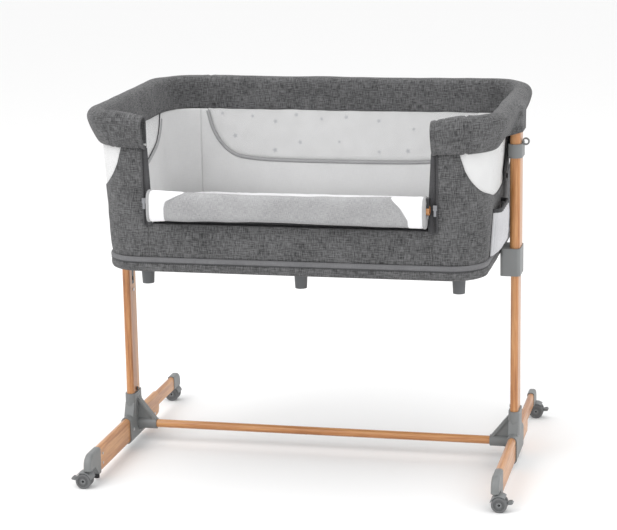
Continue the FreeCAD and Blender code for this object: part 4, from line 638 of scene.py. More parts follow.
section_outer = smooth_through(SECTION, 49, closed=True)
section_inner = offset_section(section_outer[:-1], 0.0036)
section_inner = np.concatenate([section_inner, section_inner[:1]])
sewing = Sewing()
uv = coords((rim_stations * rim_length)[:, None], run_lengths(section_outer))
rim_outer = dressed_rim(section_outer, False)
rim_inner = dressed_rim(section_inner, True)
sewing.grid(rim_outer, uv)
sewing.grid(rim_inner, uv, flip=True)
for end in (0, -1):
    hem = np.stack([rim_outer[end], rim_inner[end]])
    sewing.grid(hem, uv[:2] + np.array([0, 0.5]), slot=1, flip=end == -1)
rim_cover = add_piece("padded_rim", sewing.mesh("padded_rim"), [grey_melange, dark_binding],
                      ["rim_cover"])

# %% [markdown]
# ## Walls
#
# The walls hang between the rim and the bottom band. Both outlines are rounded rectangles,
# and the walls are straight between them, so at any height the outline is again a rounded
# rectangle with sizes in between. A wall is sewn from an outer grey cloth and a pale lining
# with thin padding in between. Its upper edge follows the rim, or dips for a window.

# %% Wall outlines
low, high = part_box("back_wall")
WALL_FOOT = low.z
BACK_SEAM = high.x
TOP_OUTLINE = np.array([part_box("end_wall_right")[1].x, high.y, 0.078])
LOW_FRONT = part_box("front_wall")[1].z
low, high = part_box("base_cover")
BASE_FOOT = low.z
BASE_OUTLINE = np.array([high.x, high.y, 0.075])
FOOT_OUTLINE = BASE_OUTLINE - 0.002


def outline_sizes(height):
    """Half length, half depth and corner radius of the walls at a height."""
    share = (np.asarray(height)[..., None] - WALL_FOOT) / (RIM_FOOT - WALL_FOOT)
    return FOOT_OUTLINE + (TOP_OUTLINE - FOOT_OUTLINE) * share


def end_line(height, outwards):
    """Plan of the right-hand end wall, from its front edge to its seam at the back."""
    half_length, half_depth, radius = outline_sizes(height) + outwards
    x, y = half_length - radius, half_depth - radius
    back = arc((x, y), radius, 0, 90)
    back = back[back[:, 0] > BACK_SEAM]
    angle = (BACK_SEAM - x) / radius
    last = (BACK_SEAM, y + radius * (math.sqrt(1 - angle ** 2) if angle > 0 else 1))
    return np.concatenate([
        [(RIM_END, -half_depth)], arc((x, -y), radius, -90, 0), back, [last]])


LEVELS = np.linspace(WALL_FOOT, RIM_FOOT + 0.012, 17)


def end_wall_table(outwards, shares):
    """Points of the right-hand end wall for shares of its length at each level."""
    return np.stack([resample(end_line(z, outwards), shares) for z in LEVELS], 1)


def at_heights(table, heights):
    """Plan points at given heights, one row of heights for each share."""
    index = (heights - LEVELS[0]) / (LEVELS[1] - LEVELS[0])
    low = np.clip(index.astype(int), 0, len(LEVELS) - 2)
    part = (index - low)[..., None]
    rows = np.arange(table.shape[0])[:, None]
    plan = table[rows, low] * (1 - part) + table[rows, low + 1] * part
    return np.concatenate([plan, heights[..., None]], 2)


# %% [markdown]
# The windows are cut with a French curve. Each is a smooth line through a few points: for
# the ends, distance behind the post axis and drop below the rim; for the back, distance from
# the middle and drop. An upright strip of cloth crosses each end window beside the post.

# %% Window curves
END_WINDOW = np.array([
    (-270.5, -1), (-268.5, 19), (-265, 41), (-257, 62), (-242, 79), (-217, 89), (-159, 102),
    (-98, 107), (-27, 104), (51, 93), (116, 74), (158, 57), (187, 30), (204, -1)]) / 1000
BACK_SHARES = np.array([(1, -1), (0.965, 37), (0.91, 69), (0.82, 95), (0.70, 106), (0.40, 111)])
BACK_HALF = BACK_SEAM - 0.018
STRIP = (-0.014, 0.052)
BEHIND_RIM = 0.002
back_right = np.stack([BACK_HALF * BACK_SHARES[:, 0], BACK_SHARES[:, 1] / 1000], 1)
BACK_WINDOW = np.concatenate([back_right * (-1, 1), back_right[::-1]])
end_curve = smooth_through(END_WINDOW, 400)
back_curve = smooth_through(BACK_WINDOW, 600)


def window_edge(curve, across):
    """Height of the window's edge at each place; beyond the window it is the rim."""
    drop = np.interp(across, curve[:, 0], curve[:, 1], left=-BEHIND_RIM, right=-BEHIND_RIM)
    return RIM_FOOT - drop


# %% [markdown]
# `sewn_wall` builds one padded wall from a function that gives its surface. The rows of the
# grid are spread evenly between the foot and the upper edge, so the cut edge is smooth. The
# padding makes the wall swell a little between its edges, and slow noise gives the cloth its
# soft waves. Both faces and their four edges are welded into one closed skin.

# %% Wall builder
PADDING = 0.0066
INSET = 0.0004  # the sewn wall lies this far inside the block of the CAD model
SWELLS_OVER = 0.018


def sewn_wall(name, node, surface, upper, rows, seams=()):
    """A padded wall; surface(outwards, heights) gives points, upper its top edge."""
    rise = np.linspace(0, 1, rows)
    foot = np.full_like(upper, WALL_FOOT + INSET)
    heights = foot[:, None] + (upper - foot)[:, None] * rise[None, :]
    outer = surface(-INSET, heights)
    inner = surface(-INSET - PADDING, heights)
    facing = unit(outer - inner)
    length = run_lengths(outer[:, 0])
    edge = np.minimum(rise, 1 - rise) * (upper - foot)[:, None]
    edge = np.minimum(edge, np.minimum(length, length[-1] - length)[:, None])
    swell = np.clip(edge / SWELLS_OVER, 0, 1)
    swell = swell * swell * (3 - 2 * swell)
    push = swell * (0.0010 + 0.0016 * wobble(outer, 0.07) + 0.0008 * wobble(outer, 0.02, 5))
    for seam in seams:
        push = push - bell(length - seam, 0.0018)[:, None] * 0.0013
    pull = swell * (0.0008 + 0.0012 * wobble(inner, 0.09, 9))
    outer = outer + facing * push[:, :, None]
    inner = inner - facing * pull[:, :, None]
    uv = coords(length[:, None], heights)
    work = Sewing()
    work.grid(outer, uv, 0, flip=True)
    work.grid(inner, uv, 1)
    work.edges(outer, inner, uv, 2)
    piece = add_piece(name, work.mesh(name), [grey_melange, pale_lining, dark_binding], [node])
    return outer


top_line = end_line(np.array(RIM_FOOT), 0)
top_shares = run_lengths(top_line) / run_lengths(top_line)[-1]
RISING = slice(8, 40)  # where y grows from point to point
strip_places = np.interp([STRIP[0], STRIP[0] + 0.0004, STRIP[1] - 0.0004, STRIP[1]],
                         top_line[RISING, 1], top_shares[RISING])
end_shares = np.unique(np.concatenate([
    np.linspace(0, 1, 170), np.linspace(0.05, 0.16, 40), np.linspace(0.70, 0.85, 40),
    strip_places]))


def end_surface(sign):
    """The surface of the end wall on one side."""
    def surface(outwards, heights):
        points = at_heights(end_wall_table(outwards, end_shares), heights)
        return points * (sign, 1, 1)
    return surface


def end_upper():
    """Top edge of the end wall for each share, following the window in the wall itself."""
    table = end_wall_table(0, end_shares)
    upper = np.full(len(end_shares), RIM_FOOT)
    for _ in range(8):
        across = at_heights(table, upper[:, None])[:, 0, 1]
        upper = window_edge(end_curve, across)
    strip = (end_shares > strip_places[0]) & (end_shares < strip_places[3])
    upper[strip] = RIM_FOOT + BEHIND_RIM
    return np.minimum(upper, RIM_FOOT + BEHIND_RIM)


upper_edge = end_upper()
print("window dips to", round(float(upper_edge.min()), 4))
for side, sign in SIDES:
    sewn_wall("sewn_end_" + side, "end_wall_" + side, end_surface(sign), upper_edge, 44, (0.020,))

# %% Back and front walls
back_across = np.unique(np.concatenate([
    np.linspace(-BACK_SEAM, BACK_SEAM, 170), np.linspace(-0.316, -0.25, 50),
    np.linspace(0.25, 0.316, 50)]))


def reach_at(across, half_across, half_reach, radius):
    """How far a rounded rectangle reaches at a place across it."""
    into = np.clip(np.abs(across) - (half_across - radius), 0, radius)
    return half_reach - radius + np.sqrt(radius ** 2 - into ** 2)


def back_surface(outwards, heights):
    """The back wall runs straight and turns a little into the corners at its ends."""
    half_length, half_depth, radius = np.moveaxis(outline_sizes(heights) + outwards, -1, 0)
    across = back_across[:, None]
    return coords(across, reach_at(across, half_length, half_depth, radius), heights)


back_upper = np.minimum(window_edge(back_curve, back_across), RIM_FOOT + BEHIND_RIM)
sewn_wall("sewn_back", "back_wall", back_surface, back_upper, 40)
front_across = np.linspace(-RIM_END, RIM_END, 150)


def front_surface(outwards, heights):
    """The low front wall is straight."""
    depth = (outline_sizes(heights) + outwards)[..., 1]
    return coords(front_across[:, None], -depth, heights)


front_outer = sewn_wall("sewn_front", "front_wall", front_surface,
                        np.full(len(front_across), LOW_FRONT), 24, (0.008,))

# %% [markdown]
# ## Window meshes
#
# Each window is a sheet of white knit, stretched just behind the outer cloth. It reaches a
# little past the cut edge and up behind the rim, as real seam allowance does. The sheets are
# closed skins under a millimetre thick.

# %% Mesh sheets
SHEET = 0.0008
BEHIND_CLOTH = 0.0028
OPEN_BELOW = RIM_FOOT + 0.003  # a wall whose edge is lower than this has a window there


def mesh_sheet(name, surface, upper, chosen, finish):
    """Sheet that fills a window; chosen marks the shares that it spans."""
    low = np.minimum(upper, OPEN_BELOW) - 0.006
    high = np.full_like(low, RIM_FOOT + 0.008)
    heights = low[:, None] + (high - low)[:, None] * np.linspace(0, 1, 16)[None, :]
    front = surface(-BEHIND_CLOTH, heights)[chosen]
    back = surface(-BEHIND_CLOTH - SHEET, heights)[chosen]
    length = run_lengths(front[:, -1])
    uv = coords(length[:, None], heights[chosen])
    work = Sewing()
    work.grid(front, uv, flip=True)
    work.grid(back, uv)
    work.edges(front, back, uv)
    piece = add_piece(name, work.mesh(name), [finish])
    return piece


in_window = window_edge(end_curve, at_heights(
    end_wall_table(0, end_shares), upper_edge[:, None])[:, 0, 1]) < OPEN_BELOW
for side, sign in SIDES:
    mesh_sheet("window_knit_" + side, end_surface(sign), upper_edge, in_window, end_mesh)
back_knit = mesh_sheet("window_knit_back", back_surface, back_upper,
                       back_upper < OPEN_BELOW, window_mesh)
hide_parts("window_meshes")

# %% [markdown]
# ## Ribbons round the windows
#
# The raw edges of each window are bound with a grey ribbon on the inside of the basket.
# It is a thin flat strip, eight millimetres wide, that follows the window's edge, so it is
# built from the same edge curve, moved sideways in the plane of the wall.

# %% Window ribbons
RIBBON = 0.008
LINING_SWELL = 0.0016
SUNK = -0.0012  # the underside of a ribbon lies in the cloth


def ribbon(name, knots, surface_point, finish, lift=0.0011, width=RIBBON, count=220):
    """A strip along a line of (across, height) knots on a wall."""
    line = smooth_through(knots, count)
    side = left_of(np.gradient(line, axis=0))
    places = np.linspace(-0.5, 0.5, 5) * width
    crown = np.array([0, 0.8, 1, 0.8, 0]) * lift
    grid, base = (np.stack([surface_point(*(line + side * place).T, rise)
                            for place, rise in zip(places, rises)], 1)
                  for rises in (crown, np.full(5, SUNK)))
    uv = coords(run_lengths(line)[:, None], places)
    work = Sewing()
    work.grid(grid, uv)
    work.grid(base, uv, flip=True)
    work.edges(grid, base, uv)
    add_piece(name, work.mesh(name), [finish])


def lining_sizes(height, lift):
    """Half length, half depth and corner radius of the lining, lifted into the basket."""
    return np.moveaxis(outline_sizes(height) - PADDING - LINING_SWELL - lift, -1, 0)


def on_back_inner(across, height, lift):
    """A point on the lining of the back wall."""
    return coords(across, reach_at(across, *lining_sizes(height, lift)), height)


def ribbon_knots(curve):
    """Knots a little below a window's edge."""
    return coords(curve[::12, 0], RIM_FOOT - curve[::12, 1] - 0.003)


back_knots = ribbon_knots(back_curve)
ribbon("window_ribbon_back", back_knots, on_back_inner, grey_ribbon)

# %% Ribbons of the end windows


def on_end_inner(sign):
    """Points on the lining of an end wall and its front corner, by their y."""
    def point(across, height, lift):
        half_length, half_depth, radius = lining_sizes(height, lift)
        reach = reach_at(across, half_depth, half_length, radius)
        return coords(sign * reach, across, height)
    return point


end_knots = ribbon_knots(end_curve[6:])
parts = {"front": end_knots[(end_knots[:, 0] > -0.256) & (end_knots[:, 0] < STRIP[0])],
         "rear": end_knots[(end_knots[:, 0] > STRIP[1]) & (end_knots[:, 0] < 0.2)]}
for side, sign in SIDES:
    for part, knots in parts.items():
        ribbon("window_ribbon_%s_%s" % (part, side), knots, on_end_inner(sign), grey_ribbon,
               count=140)

# %% [markdown]
# ## Bottom band and tape
#
# Under the walls runs a band of the same cloth over the bottom frame, closed underneath by a
# sheet. The band is one profile carried round the outline: from the floor sheet round the
# lower edge, up the side and in to the frame. A grey tape covers the seam above it, and a
# thin dark cord runs under the tape; both are carried round the same outline.

# %% Bottom band


def ring_line(half_length, half_depth, radius, count):
    """Closed rounded rectangle with evenly spaced points; the first is repeated."""
    x, y = half_length - radius, half_depth - radius
    line = np.concatenate([
        [(0, -half_depth)], arc((x, -y), radius, -90, 0), arc((x, y), radius, 0, 90),
        arc((-x, y), radius, 90, 180), arc((-x, -y), radius, 180, 270), [(0, -half_depth)]])
    return resample(line, np.linspace(0, 1, count))


def carried_round(profile, count, outline=BASE_OUTLINE):
    """A profile of (outwards, height) carried round an outline."""
    return np.stack([coords(*ring_line(*(outline + outwards), count).T, height)
                     for outwards, height in profile], 1)


def capped(grid, uv):
    """A grid that runs all round, closed by a flat face at either side."""
    sewn = Sewing()
    sewn.grid(grid, uv)
    sewn.polygon(grid[:-1, 0], flip=True)
    sewn.polygon(grid[:-1, -1])
    return sewn


BAND_PROFILE = np.array([
    (-40, 0.3), (-24, 0.2), (-12, 0.3), (-5, 1.0), (-1.4, 3), (0.3, 6.5), (0.9, 11),
    (0.6, 16), (-0.6, 19.4), (-3, 20.6), (-7, 20.8), (-7.6, 17), (-7.6, 10), (-7.7, 5),
    (-9, 2.0), (-40, 1.9)]) / 1000 + np.array([0, BASE_FOOT])
band = carried_round(BAND_PROFILE, 360)
moved = band.copy()
moved[:, 4:9] += normals_of(band)[:, 4:9] * (wobble(band[:, 4:9], 0.06)[:, :, None] * 0.0011)
moved[-1] = moved[0]
uv = coords(run_lengths(band[:, 6, :2])[:, None], run_lengths(BAND_PROFILE))
add_piece("bottom_band", capped(moved, uv).mesh("bottom_band"), [grey_melange], ["base_cover"])


def carried_piece(name, profile, finish):
    """A closed profile of cloth that runs all round the basket."""
    grid = carried_round(profile, 300)
    sewn = Sewing()
    sewn.grid(grid, coords(run_lengths(grid[:, 0, :2])[:, None], run_lengths(profile)))
    add_piece(name, sewn.mesh(name), [finish])


ROUND = np.linspace(0, math.tau, 9)
cord = coords(np.cos(ROUND), np.sin(ROUND)) * 0.0014
STRIP_PROFILE = np.array([
    (-6.5, 21.2), (-2.4, 21.2), (0.4, 21.6), (1.3, 23.4), (1.5, 26.4), (1.2, 29.4), (0.2, 31.4),
    (-1.6, 32.0), (-6.5, 32.0), (-6.5, 21.2)]) / 1000 + np.array([0, BASE_FOOT])
carried_piece("light_strip", STRIP_PROFILE, pale_tape)
carried_piece("strip_seam", cord + np.array([-0.0002, BASE_FOOT + 0.0206]), dark_binding)

# %% [markdown]
# ## Mattress
#
# The mattress is a foam slab in a quilted cover. A padded shape is best found by physics:
# a rounded slab is remeshed evenly, blown up by a short cloth simulation with air pressure,
# and held so that no point moves further than a cap. The quilting lines are pressed in
# afterwards, because remeshing would erase them.

# %% Cloth simulation helper


def blown_up(mesh, voxel, pressure, cap, frames=20):
    """The mesh after a short simulation with air pressure inside it."""
    source = bpy.data.objects.new("blown_source", mesh)
    show(source)
    remesh = source.modifiers.new("even", "REMESH")
    remesh.mode = "VOXEL"
    remesh.voxel_size = voxel
    graph = bpy.context.evaluated_depsgraph_get()
    even = bpy.data.meshes.new_from_object(source.evaluated_get(graph))
    bpy.data.objects.remove(source)
    work = bpy.data.objects.new("blown", even)
    show(work)
    before = np.array([v.co for v in even.vertices])
    cloth = work.modifiers.new("air", "CLOTH")
    cloth.settings.use_pressure = True
    cloth.settings.uniform_pressure_force = pressure
    cloth.settings.effector_weights.gravity = 0
    cloth.settings.quality = 4
    cloth.point_cache.frame_start = 1
    cloth.point_cache.frame_end = frames
    for step in range(1, frames + 1):
        bpy.context.scene.frame_set(step)
    graph = bpy.context.evaluated_depsgraph_get()
    after = np.array([v.co for v in work.evaluated_get(graph).data.vertices])
    bpy.context.scene.frame_set(1)
    bpy.data.objects.remove(work)
    move = after - before
    far = np.linalg.norm(move, axis=1, keepdims=True)
    after = before + move * np.minimum(1, cap / np.maximum(far, 1e-9))
    return even, after


# %% Mattress
low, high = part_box("mattress")
slab_profile = np.array([
    (-0.030, 0.0), (-0.012, 0.001), (-0.004, 0.006), (-0.001, 0.014), (0, 0.021),
    (-0.001, 0.028), (-0.004, 0.036), (-0.012, 0.041), (-0.030, 0.0425)])
slab_size = np.array([high.x - 0.003, high.y - 0.003, 0.060])
slab = carried_round(slab_profile + np.array([0, low.z + 0.0008]), 200, slab_size)
even, after = blown_up(capped(slab, slab[:, :, :2]).mesh("mattress_slab"), voxel=0.006,
                       pressure=4.0, cap=0.007)
QUILT_PITCH = 0.062


def quilt_depth(points):
    """How deep the diamond quilting is pressed in."""
    depth = np.zeros(len(points))
    for sign in (1, -1):
        line = (points[:, 0] + sign * points[:, 1] + 5) % QUILT_PITCH
        depth = np.maximum(depth, bell(np.minimum(line, QUILT_PITCH - line), 0.0045))
    return depth


PLAIN_BORDER = 0.035
top_share = np.clip((after[:, 2] - (low.z + 0.030)) / 0.010, 0, 1)
edge_in = np.clip((high.x - PLAIN_BORDER - np.abs(after[:, 0])) / 0.02, 0, 1)
edge_in *= np.clip((high.y - PLAIN_BORDER - np.abs(after[:, 1])) / 0.02, 0, 1)
crown = (1 - (after[:, 0] / high.x) ** 2) * (1 - (after[:, 1] / high.y) ** 2)
after[:, 2] += top_share * (0.0055 * crown - 0.0024 * quilt_depth(after) * edge_in)
after[:, 2] = np.maximum(after[:, 2], low.z + 0.0004)
even.vertices.foreach_set("co", after.ravel())
even.polygons.foreach_set("use_smooth", [True] * len(even.polygons))
layer = even.uv_layers.new(name="cloth")
corner = np.zeros(len(even.loops), np.int32)
even.loops.foreach_get("vertex_index", corner)
layer.data.foreach_set("uv", after[corner][:, :2].astype(np.float32).ravel())
even.materials.clear()
mattress = add_piece("quilted_mattress", even, [white_cloth], ["mattress"])

# %% [markdown]
# ## The drop panel
#
# The rail of the drop side is wrapped in a padded panel: a marl middle between white ends,
# with grey ribbon where they meet and at the outer ends. The middle and the ends
# meet on a curve, so the columns of the grid are bent to follow it, and the colours change
# exactly on a column. The padding hangs a little in the middle and stands fuller at the ends.

# %% Drop panel
low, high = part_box("drop_panel")
PANEL_HALF = high.x
PANEL_Y = (low.y + high.y) / 2
PANEL_SECTION = np.array([
    # across the panel and height from the rail's axis, millimetres
    (2, 27.2), (-8, 25.4), (-14.8, 19.4), (-18.2, 9), (-18.8, -4), (-18.2, -17), (-16, -28),
    (-10, -34.5), (0, -36.6), (10, -34.5), (16, -25), (18.2, -9), (18, 8), (14.6, 19),
    (9.5, 25.2)]) / 1000
panel_loop = smooth_through(PANEL_SECTION, 57, closed=True)
low_rail, high_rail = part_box("drop_rail")
RAIL_Z = (low_rail.z + high_rail.z) / 2
MIDDLE_EDGE = np.array([
    # height from the rail's axis, where the marl ends on the left and on the right
    (-37, -0.246, 0.2475), (-20, -0.246, 0.2476), (-6, -0.2455, 0.2395), (8, -0.2425, 0.2315),
    (20, -0.222, 0.220), (28, -0.205, 0.2112)])
BINDING = 0.0034
END_TAPE = 0.006
RAIL_BORE = 0.0099
PANEL_OVERHANG = 0.004


def middle_end(height, column):
    """Where the marl ends at a height."""
    return np.interp(height * 1000, MIDDLE_EDGE[:, 0], MIDDLE_EDGE[:, column])


left_end = middle_end(panel_loop[:, 1], 1)
right_end = middle_end(panel_loop[:, 1], 2)
borders = [-PANEL_HALF, -PANEL_HALF + END_TAPE, left_end - BINDING, left_end + BINDING,
           right_end - BINDING, right_end + BINDING, PANEL_HALF - END_TAPE, PANEL_HALF]
zones = [(8, 3), (14, 1), (6, 3), (110, 0), (6, 3), (14, 1), (8, 3)]  # columns and cloth


def panel_points(across):
    """Points of the panel for columns that may bend with the height."""
    share = np.abs(across) / PANEL_HALF
    height = panel_loop[None, :, 1] * (0.93 + 0.09 * share ** 3)
    height = height - 0.0035 * (1 - share ** 2) * np.clip(panel_loop[None, :, 1] / 0.027, 0, 1)
    depth = panel_loop[:, 0]
    points = coords(across, PANEL_Y + depth, RAIL_Z + height)
    out = unit(points - coords(across, PANEL_Y, RAIL_Z))
    from_end = PANEL_HALF - np.abs(across)
    tape = np.clip(1 - np.abs(from_end - 0.003) / 0.003, 0, 1) ** 0.3 * 0.0010
    dip = bell(from_end - 0.0065, 0.0010) * -0.0014
    seam = np.zeros_like(across)
    for line in (left_end, right_end):
        seam += bell(np.abs(across - line) - BINDING, 0.0012) + 0.7 * bell(across - line, 0.0007)
    ripple = 0.0012 * wobble(points, 0.05) + 0.0010 * wobble(points, 0.13, 4)
    push = ripple - 0.0012 * seam + tape + dip
    points = points + out * push[:, :, None]
    points[:, :, 0] -= PANEL_OVERHANG * (1 - across / PANEL_HALF) / 2
    return points


work = Sewing()
for start, end, (count, slot) in zip(borders, borders[1:], zones):
    share = np.linspace(0, 1, count + 1)[:, None]
    across = np.asarray(start) * (1 - share) + np.asarray(end) * share
    across = np.broadcast_to(across, (count + 1, len(panel_loop))).copy()
    points = panel_points(across)
    points[:, -1] = points[:, 0]
    work.grid(points, coords(across, run_lengths(panel_loop)), slot)
bores = []
for sign in (-1, 1):
    across = np.full((1, len(panel_loop)), sign * PANEL_HALF)
    rim = panel_points(across)[0]
    rim[-1] = rim[0]
    axis = np.array([PANEL_Y, RAIL_Z])
    bore = coords(rim[:, 0].mean(), *(axis + RAIL_BORE * unit(rim[:, 1:] - axis)).T)
    face = np.stack([rim, rim * 0.5 + bore * 0.5, bore])
    face[1, :, 0] += sign * 0.0012
    work.grid(face, face[:, :, 1:], 3, flip=sign > 0)
    bores.append(bore)
tube = np.stack(bores)
work.grid(tube, tube[:, :, 1:], 2)
drop_panel = add_piece("padded_drop_panel", work.mesh("padded_drop_panel"),
                       [panel_marl, white_cloth, dark_binding, grey_ribbon], ["drop_panel"],
                       "drop_side")

# %% [markdown]
# ## The mesh that closes the front
#
# When the side goes up, a mesh wall unfolds between it and the low front wall. With the
# side down it lies in three soft folds behind the panel. Its lower part is painted dark as
# shade under the panel, and a dark tape runs up both ends.

# %% Folded front mesh
low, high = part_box("drop_mesh")
fold_rows = np.linspace(0, 1, 61)
fold_columns = np.linspace(low.x + 0.002, high.x - 0.002, 140)
fold_line = coords((low.y + high.y) / 2 + 0.0042 * np.sin(fold_rows * math.tau * 3),
                   low.z - 0.001 + fold_rows * (high.z - low.z))
grid = coords(fold_columns[:, None], *fold_line.T)
grid[:, :, 1] += 0.0008 * wobble(grid, 0.04)
behind = grid + np.array([0, SHEET, 0])
fold_length = run_lengths(fold_line)
uv = coords(fold_columns[:, None], fold_length)
work = Sewing()
# The lowest rows get the dark cloth as painted shade for the shadow under the panel; the end columns
# are the mesh's dark zip tape.
painted_shade_rows, hem_columns = 24, 6
columns = (0, hem_columns, len(fold_columns) - 1 - hem_columns, len(fold_columns) - 1)
rows = (0, painted_shade_rows, len(fold_rows) - 1)
for first, last in zip(columns, columns[1:]):
    for low_row, high_row in zip(rows, rows[1:]):
        part = (slice(first, last + 1), slice(low_row, high_row + 1))
        # dark: painted shade on the lower rows, real zip tape on the end columns
        dark = int(first != hem_columns or low_row == 0)
        work.grid(grid[part], uv[part], dark)
        work.grid(behind[part], uv[part], dark, flip=True)
work.edges(grid, behind, uv, 1)
front_mesh = add_piece("folded_front_mesh", work.mesh("folded_front_mesh"),
                       [window_mesh, dark_binding], ["drop_mesh"], None)
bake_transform(front_mesh)

# %% [markdown]
# ## Mesh pocket
#
# On the right-hand end hangs a small net pocket with a dark elastic hem. The net hangs a
# little slack between the hem and the seam at its foot, so it bellies out and has creases
# that run from its upper corners.

# %% Mesh pocket
low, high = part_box("mesh_pocket")
pocket_share = np.linspace(0, 1, 60)
pocket_across = low.y + (high.y - low.y) * pocket_share
pocket_rise = np.linspace(0, 1, 40)
heights = low.z + (high.z - low.z) * pocket_rise


def pocket_grid(lift):
    """The pocket's net, seen as a height field over the end wall."""
    share = pocket_share[:, None]
    side = np.minimum(share, 1 - share)
    belly = np.clip(side / 0.10, 0, 1) ** 0.45
    rise = pocket_rise[None, :]
    droop = 0.0180 + 0.0030 * np.sin(np.clip(rise * 1.1, 0, 1) * math.pi) - 0.0030 * rise ** 6
    foot = np.clip(rise / 0.16, 0, 1) ** 0.5
    crease = 0.0013 * np.sin(share * 37 + rise * 7) * (1 - 0.5 * rise) * belly
    out = belly * (droop * foot + crease) + 0.0006 + lift
    return coords(outline_sizes(heights)[:, 0] + out, pocket_across[:, None], heights)


net_front, net_back = pocket_grid(SHEET), pocket_grid(0)
uv = coords(pocket_across[:, None], heights)
work = Sewing()
HEM_ROW = 36
HEM_THICK = 0.0010
for slot, rows in enumerate((slice(0, HEM_ROW + 1), slice(HEM_ROW, len(heights)))):
    thick = np.array([slot * HEM_THICK, 0, 0])
    work.grid(net_front[:, rows] + thick, uv[:, rows], slot)
    work.grid(net_back[:, rows] - thick, uv[:, rows], slot, flip=True)
work.edges(net_front, net_back, uv, 1)
add_piece("net_pocket", work.mesh("net_pocket", recalculate=False), [pocket_net, dark_binding],
          ["mesh_pocket"])

# %% [markdown]
# ## Stitches, zip teeth and printed stars
#
# Small things that repeat are made once and repeated by geometry nodes. `beads_along` puts a
# small bead at even steps along a line, turned to follow it: long thin beads are stitches,
# short fat ones are the teeth of a zip. `scattered` puts a flat star on random spots of a
# cloth, with a fixed seed, so the same stars come back in every run.

# %% Repeats with geometry nodes


class Recipe(Nodes):
    """A geometry node tree with named inputs, applied to a mesh."""

    def __init__(self, name, **inputs):
        self.tree = bpy.data.node_groups.new(name, "GeometryNodeTree")
        self.keys = {}
        self.tree.interface.new_socket("Geometry", in_out="OUTPUT",
                                       socket_type="NodeSocketGeometry")
        for key, kind in {"Geometry": "Geometry", **inputs, "Finish": "Material"}.items():
            made = self.tree.interface.new_socket(key, in_out="INPUT",
                                                  socket_type="NodeSocket" + kind)
            self.keys[key] = made.identifier
        self.start = self.tree.nodes.new("NodeGroupInput")
        self.end = self.tree.nodes.new("NodeGroupOutput")

    def given(self, name):
        """The input of that name."""
        return next(s for s in self.start.outputs if s.identifier == self.keys[name])

    def finish(self, instances):
        """Real faces with the given finish."""
        real = self.node("GeometryNodeRealizeInstances", None, Geometry=instances)
        dressed = self.node("GeometryNodeSetMaterial", None, Geometry=real.outputs[0],
                            Material=self.given("Finish"))
        self.tree.links.new(dressed.outputs[0], self.end.inputs[0])

    def mesh(self, source, **values):
        """The mesh that the recipe makes from a source mesh."""
        holder = bpy.data.objects.new("recipe_source", source)
        show(holder)
        change = holder.modifiers.new("recipe", "NODES")
        change.node_group = self.tree
        for name, value in values.items():
            change[self.keys[name]] = value
        graph = bpy.context.evaluated_depsgraph_get()
        made = bpy.data.meshes.new_from_object(holder.evaluated_get(graph))
        bpy.data.objects.remove(holder)
        made.materials.clear()
        return made


beads_along = Recipe("beads_along", Step="Float", Width="Float", Length="Float")
curve = beads_along.node("GeometryNodeMeshToCurve", None, Mesh=beads_along.given("Geometry"))
spots = beads_along.node("GeometryNodeCurveToPoints", {"mode": "LENGTH"},
                         Curve=curve.outputs[0], Length=beads_along.given("Step"))
ball = beads_along.node("GeometryNodeMeshUVSphere", None, Segments=8, Rings=5, Radius=0.5)
size = beads_along.node("ShaderNodeCombineXYZ", None, X=beads_along.given("Width"),
                        Y=beads_along.given("Width"), Z=beads_along.given("Length"))
bead = beads_along.node("GeometryNodeTransform", None, Geometry=ball.outputs[0],
                        Scale=size.outputs[0])
placed = beads_along.node("GeometryNodeInstanceOnPoints", None, Points=spots.outputs["Points"],
                          Instance=bead.outputs[0], Rotation=spots.outputs["Rotation"])
beads_along.finish(placed.outputs[0])

scattered = Recipe("scattered", Apart="Float", Size="Float", Seed="Int")
spots = scattered.node("GeometryNodeDistributePointsOnFaces", {"distribute_method": "POISSON"},
                       Mesh=scattered.given("Geometry"), Distance_Min=scattered.given("Apart"),
                       Density_Max=900.0, Seed=scattered.given("Seed"))
star = scattered.node("GeometryNodeCurveStar", None, Points=5, Inner_Radius=0.24,
                      Outer_Radius=0.5)
flat = scattered.node("GeometryNodeFillCurve", None, Curve=star.outputs[0])
shrunk = scattered.node("FunctionNodeRandomValue", {"data_type": "FLOAT"}, _2=0.55, _3=1.0,
                        Seed=scattered.given("Seed"))
scale = scattered.node("ShaderNodeMath", {"operation": "MULTIPLY"}, _0=shrunk.outputs[1],
                       _1=scattered.given("Size"))
placed = scattered.node("GeometryNodeInstanceOnPoints", None, Points=spots.outputs["Points"],
                        Instance=flat.outputs[0], Rotation=spots.outputs["Rotation"],
                        Scale=scale.outputs[0])
scattered.finish(placed.outputs[0])


def thread_finish(name, colour):
    """Twisted thread."""
    made = Finish(name, 0.7)
    twist = made.speckle(made.coordinates("object", (1800, 1800, 1800)), 1.0, 2.0)
    made.mottled(twist, linear(*colour), 0.8, 0.35)
    return made.bump(twist, 0.0001)


grey_thread = thread_finish("grey_thread", (112, 112, 114))
pale_thread = thread_finish("pale_thread", (196, 196, 198))
star_print = thread_finish("star_print", (180, 181, 184))
print("repeats ready")

# %% Beads on lines


def beads(name, lines, finish, body="basket", step=0.0034, width=0.0006,
          length=0.0023):
    """One piece of beads along several lines of points."""
    source = bpy.data.meshes.new(name + "_lines")
    points, edges = [], []
    for line in lines:
        edges += [(len(points) + i, len(points) + i + 1) for i in range(len(line) - 1)]
        points += [tuple(p) for p in line]
    source.from_pydata(points, edges, [])
    made = beads_along.mesh(source, Step=step, Width=width, Length=length, Finish=finish)
    made.name = name
    made.polygons.foreach_set("use_smooth", [True] * len(made.polygons))
    add_piece(name, made, [finish], (), body)


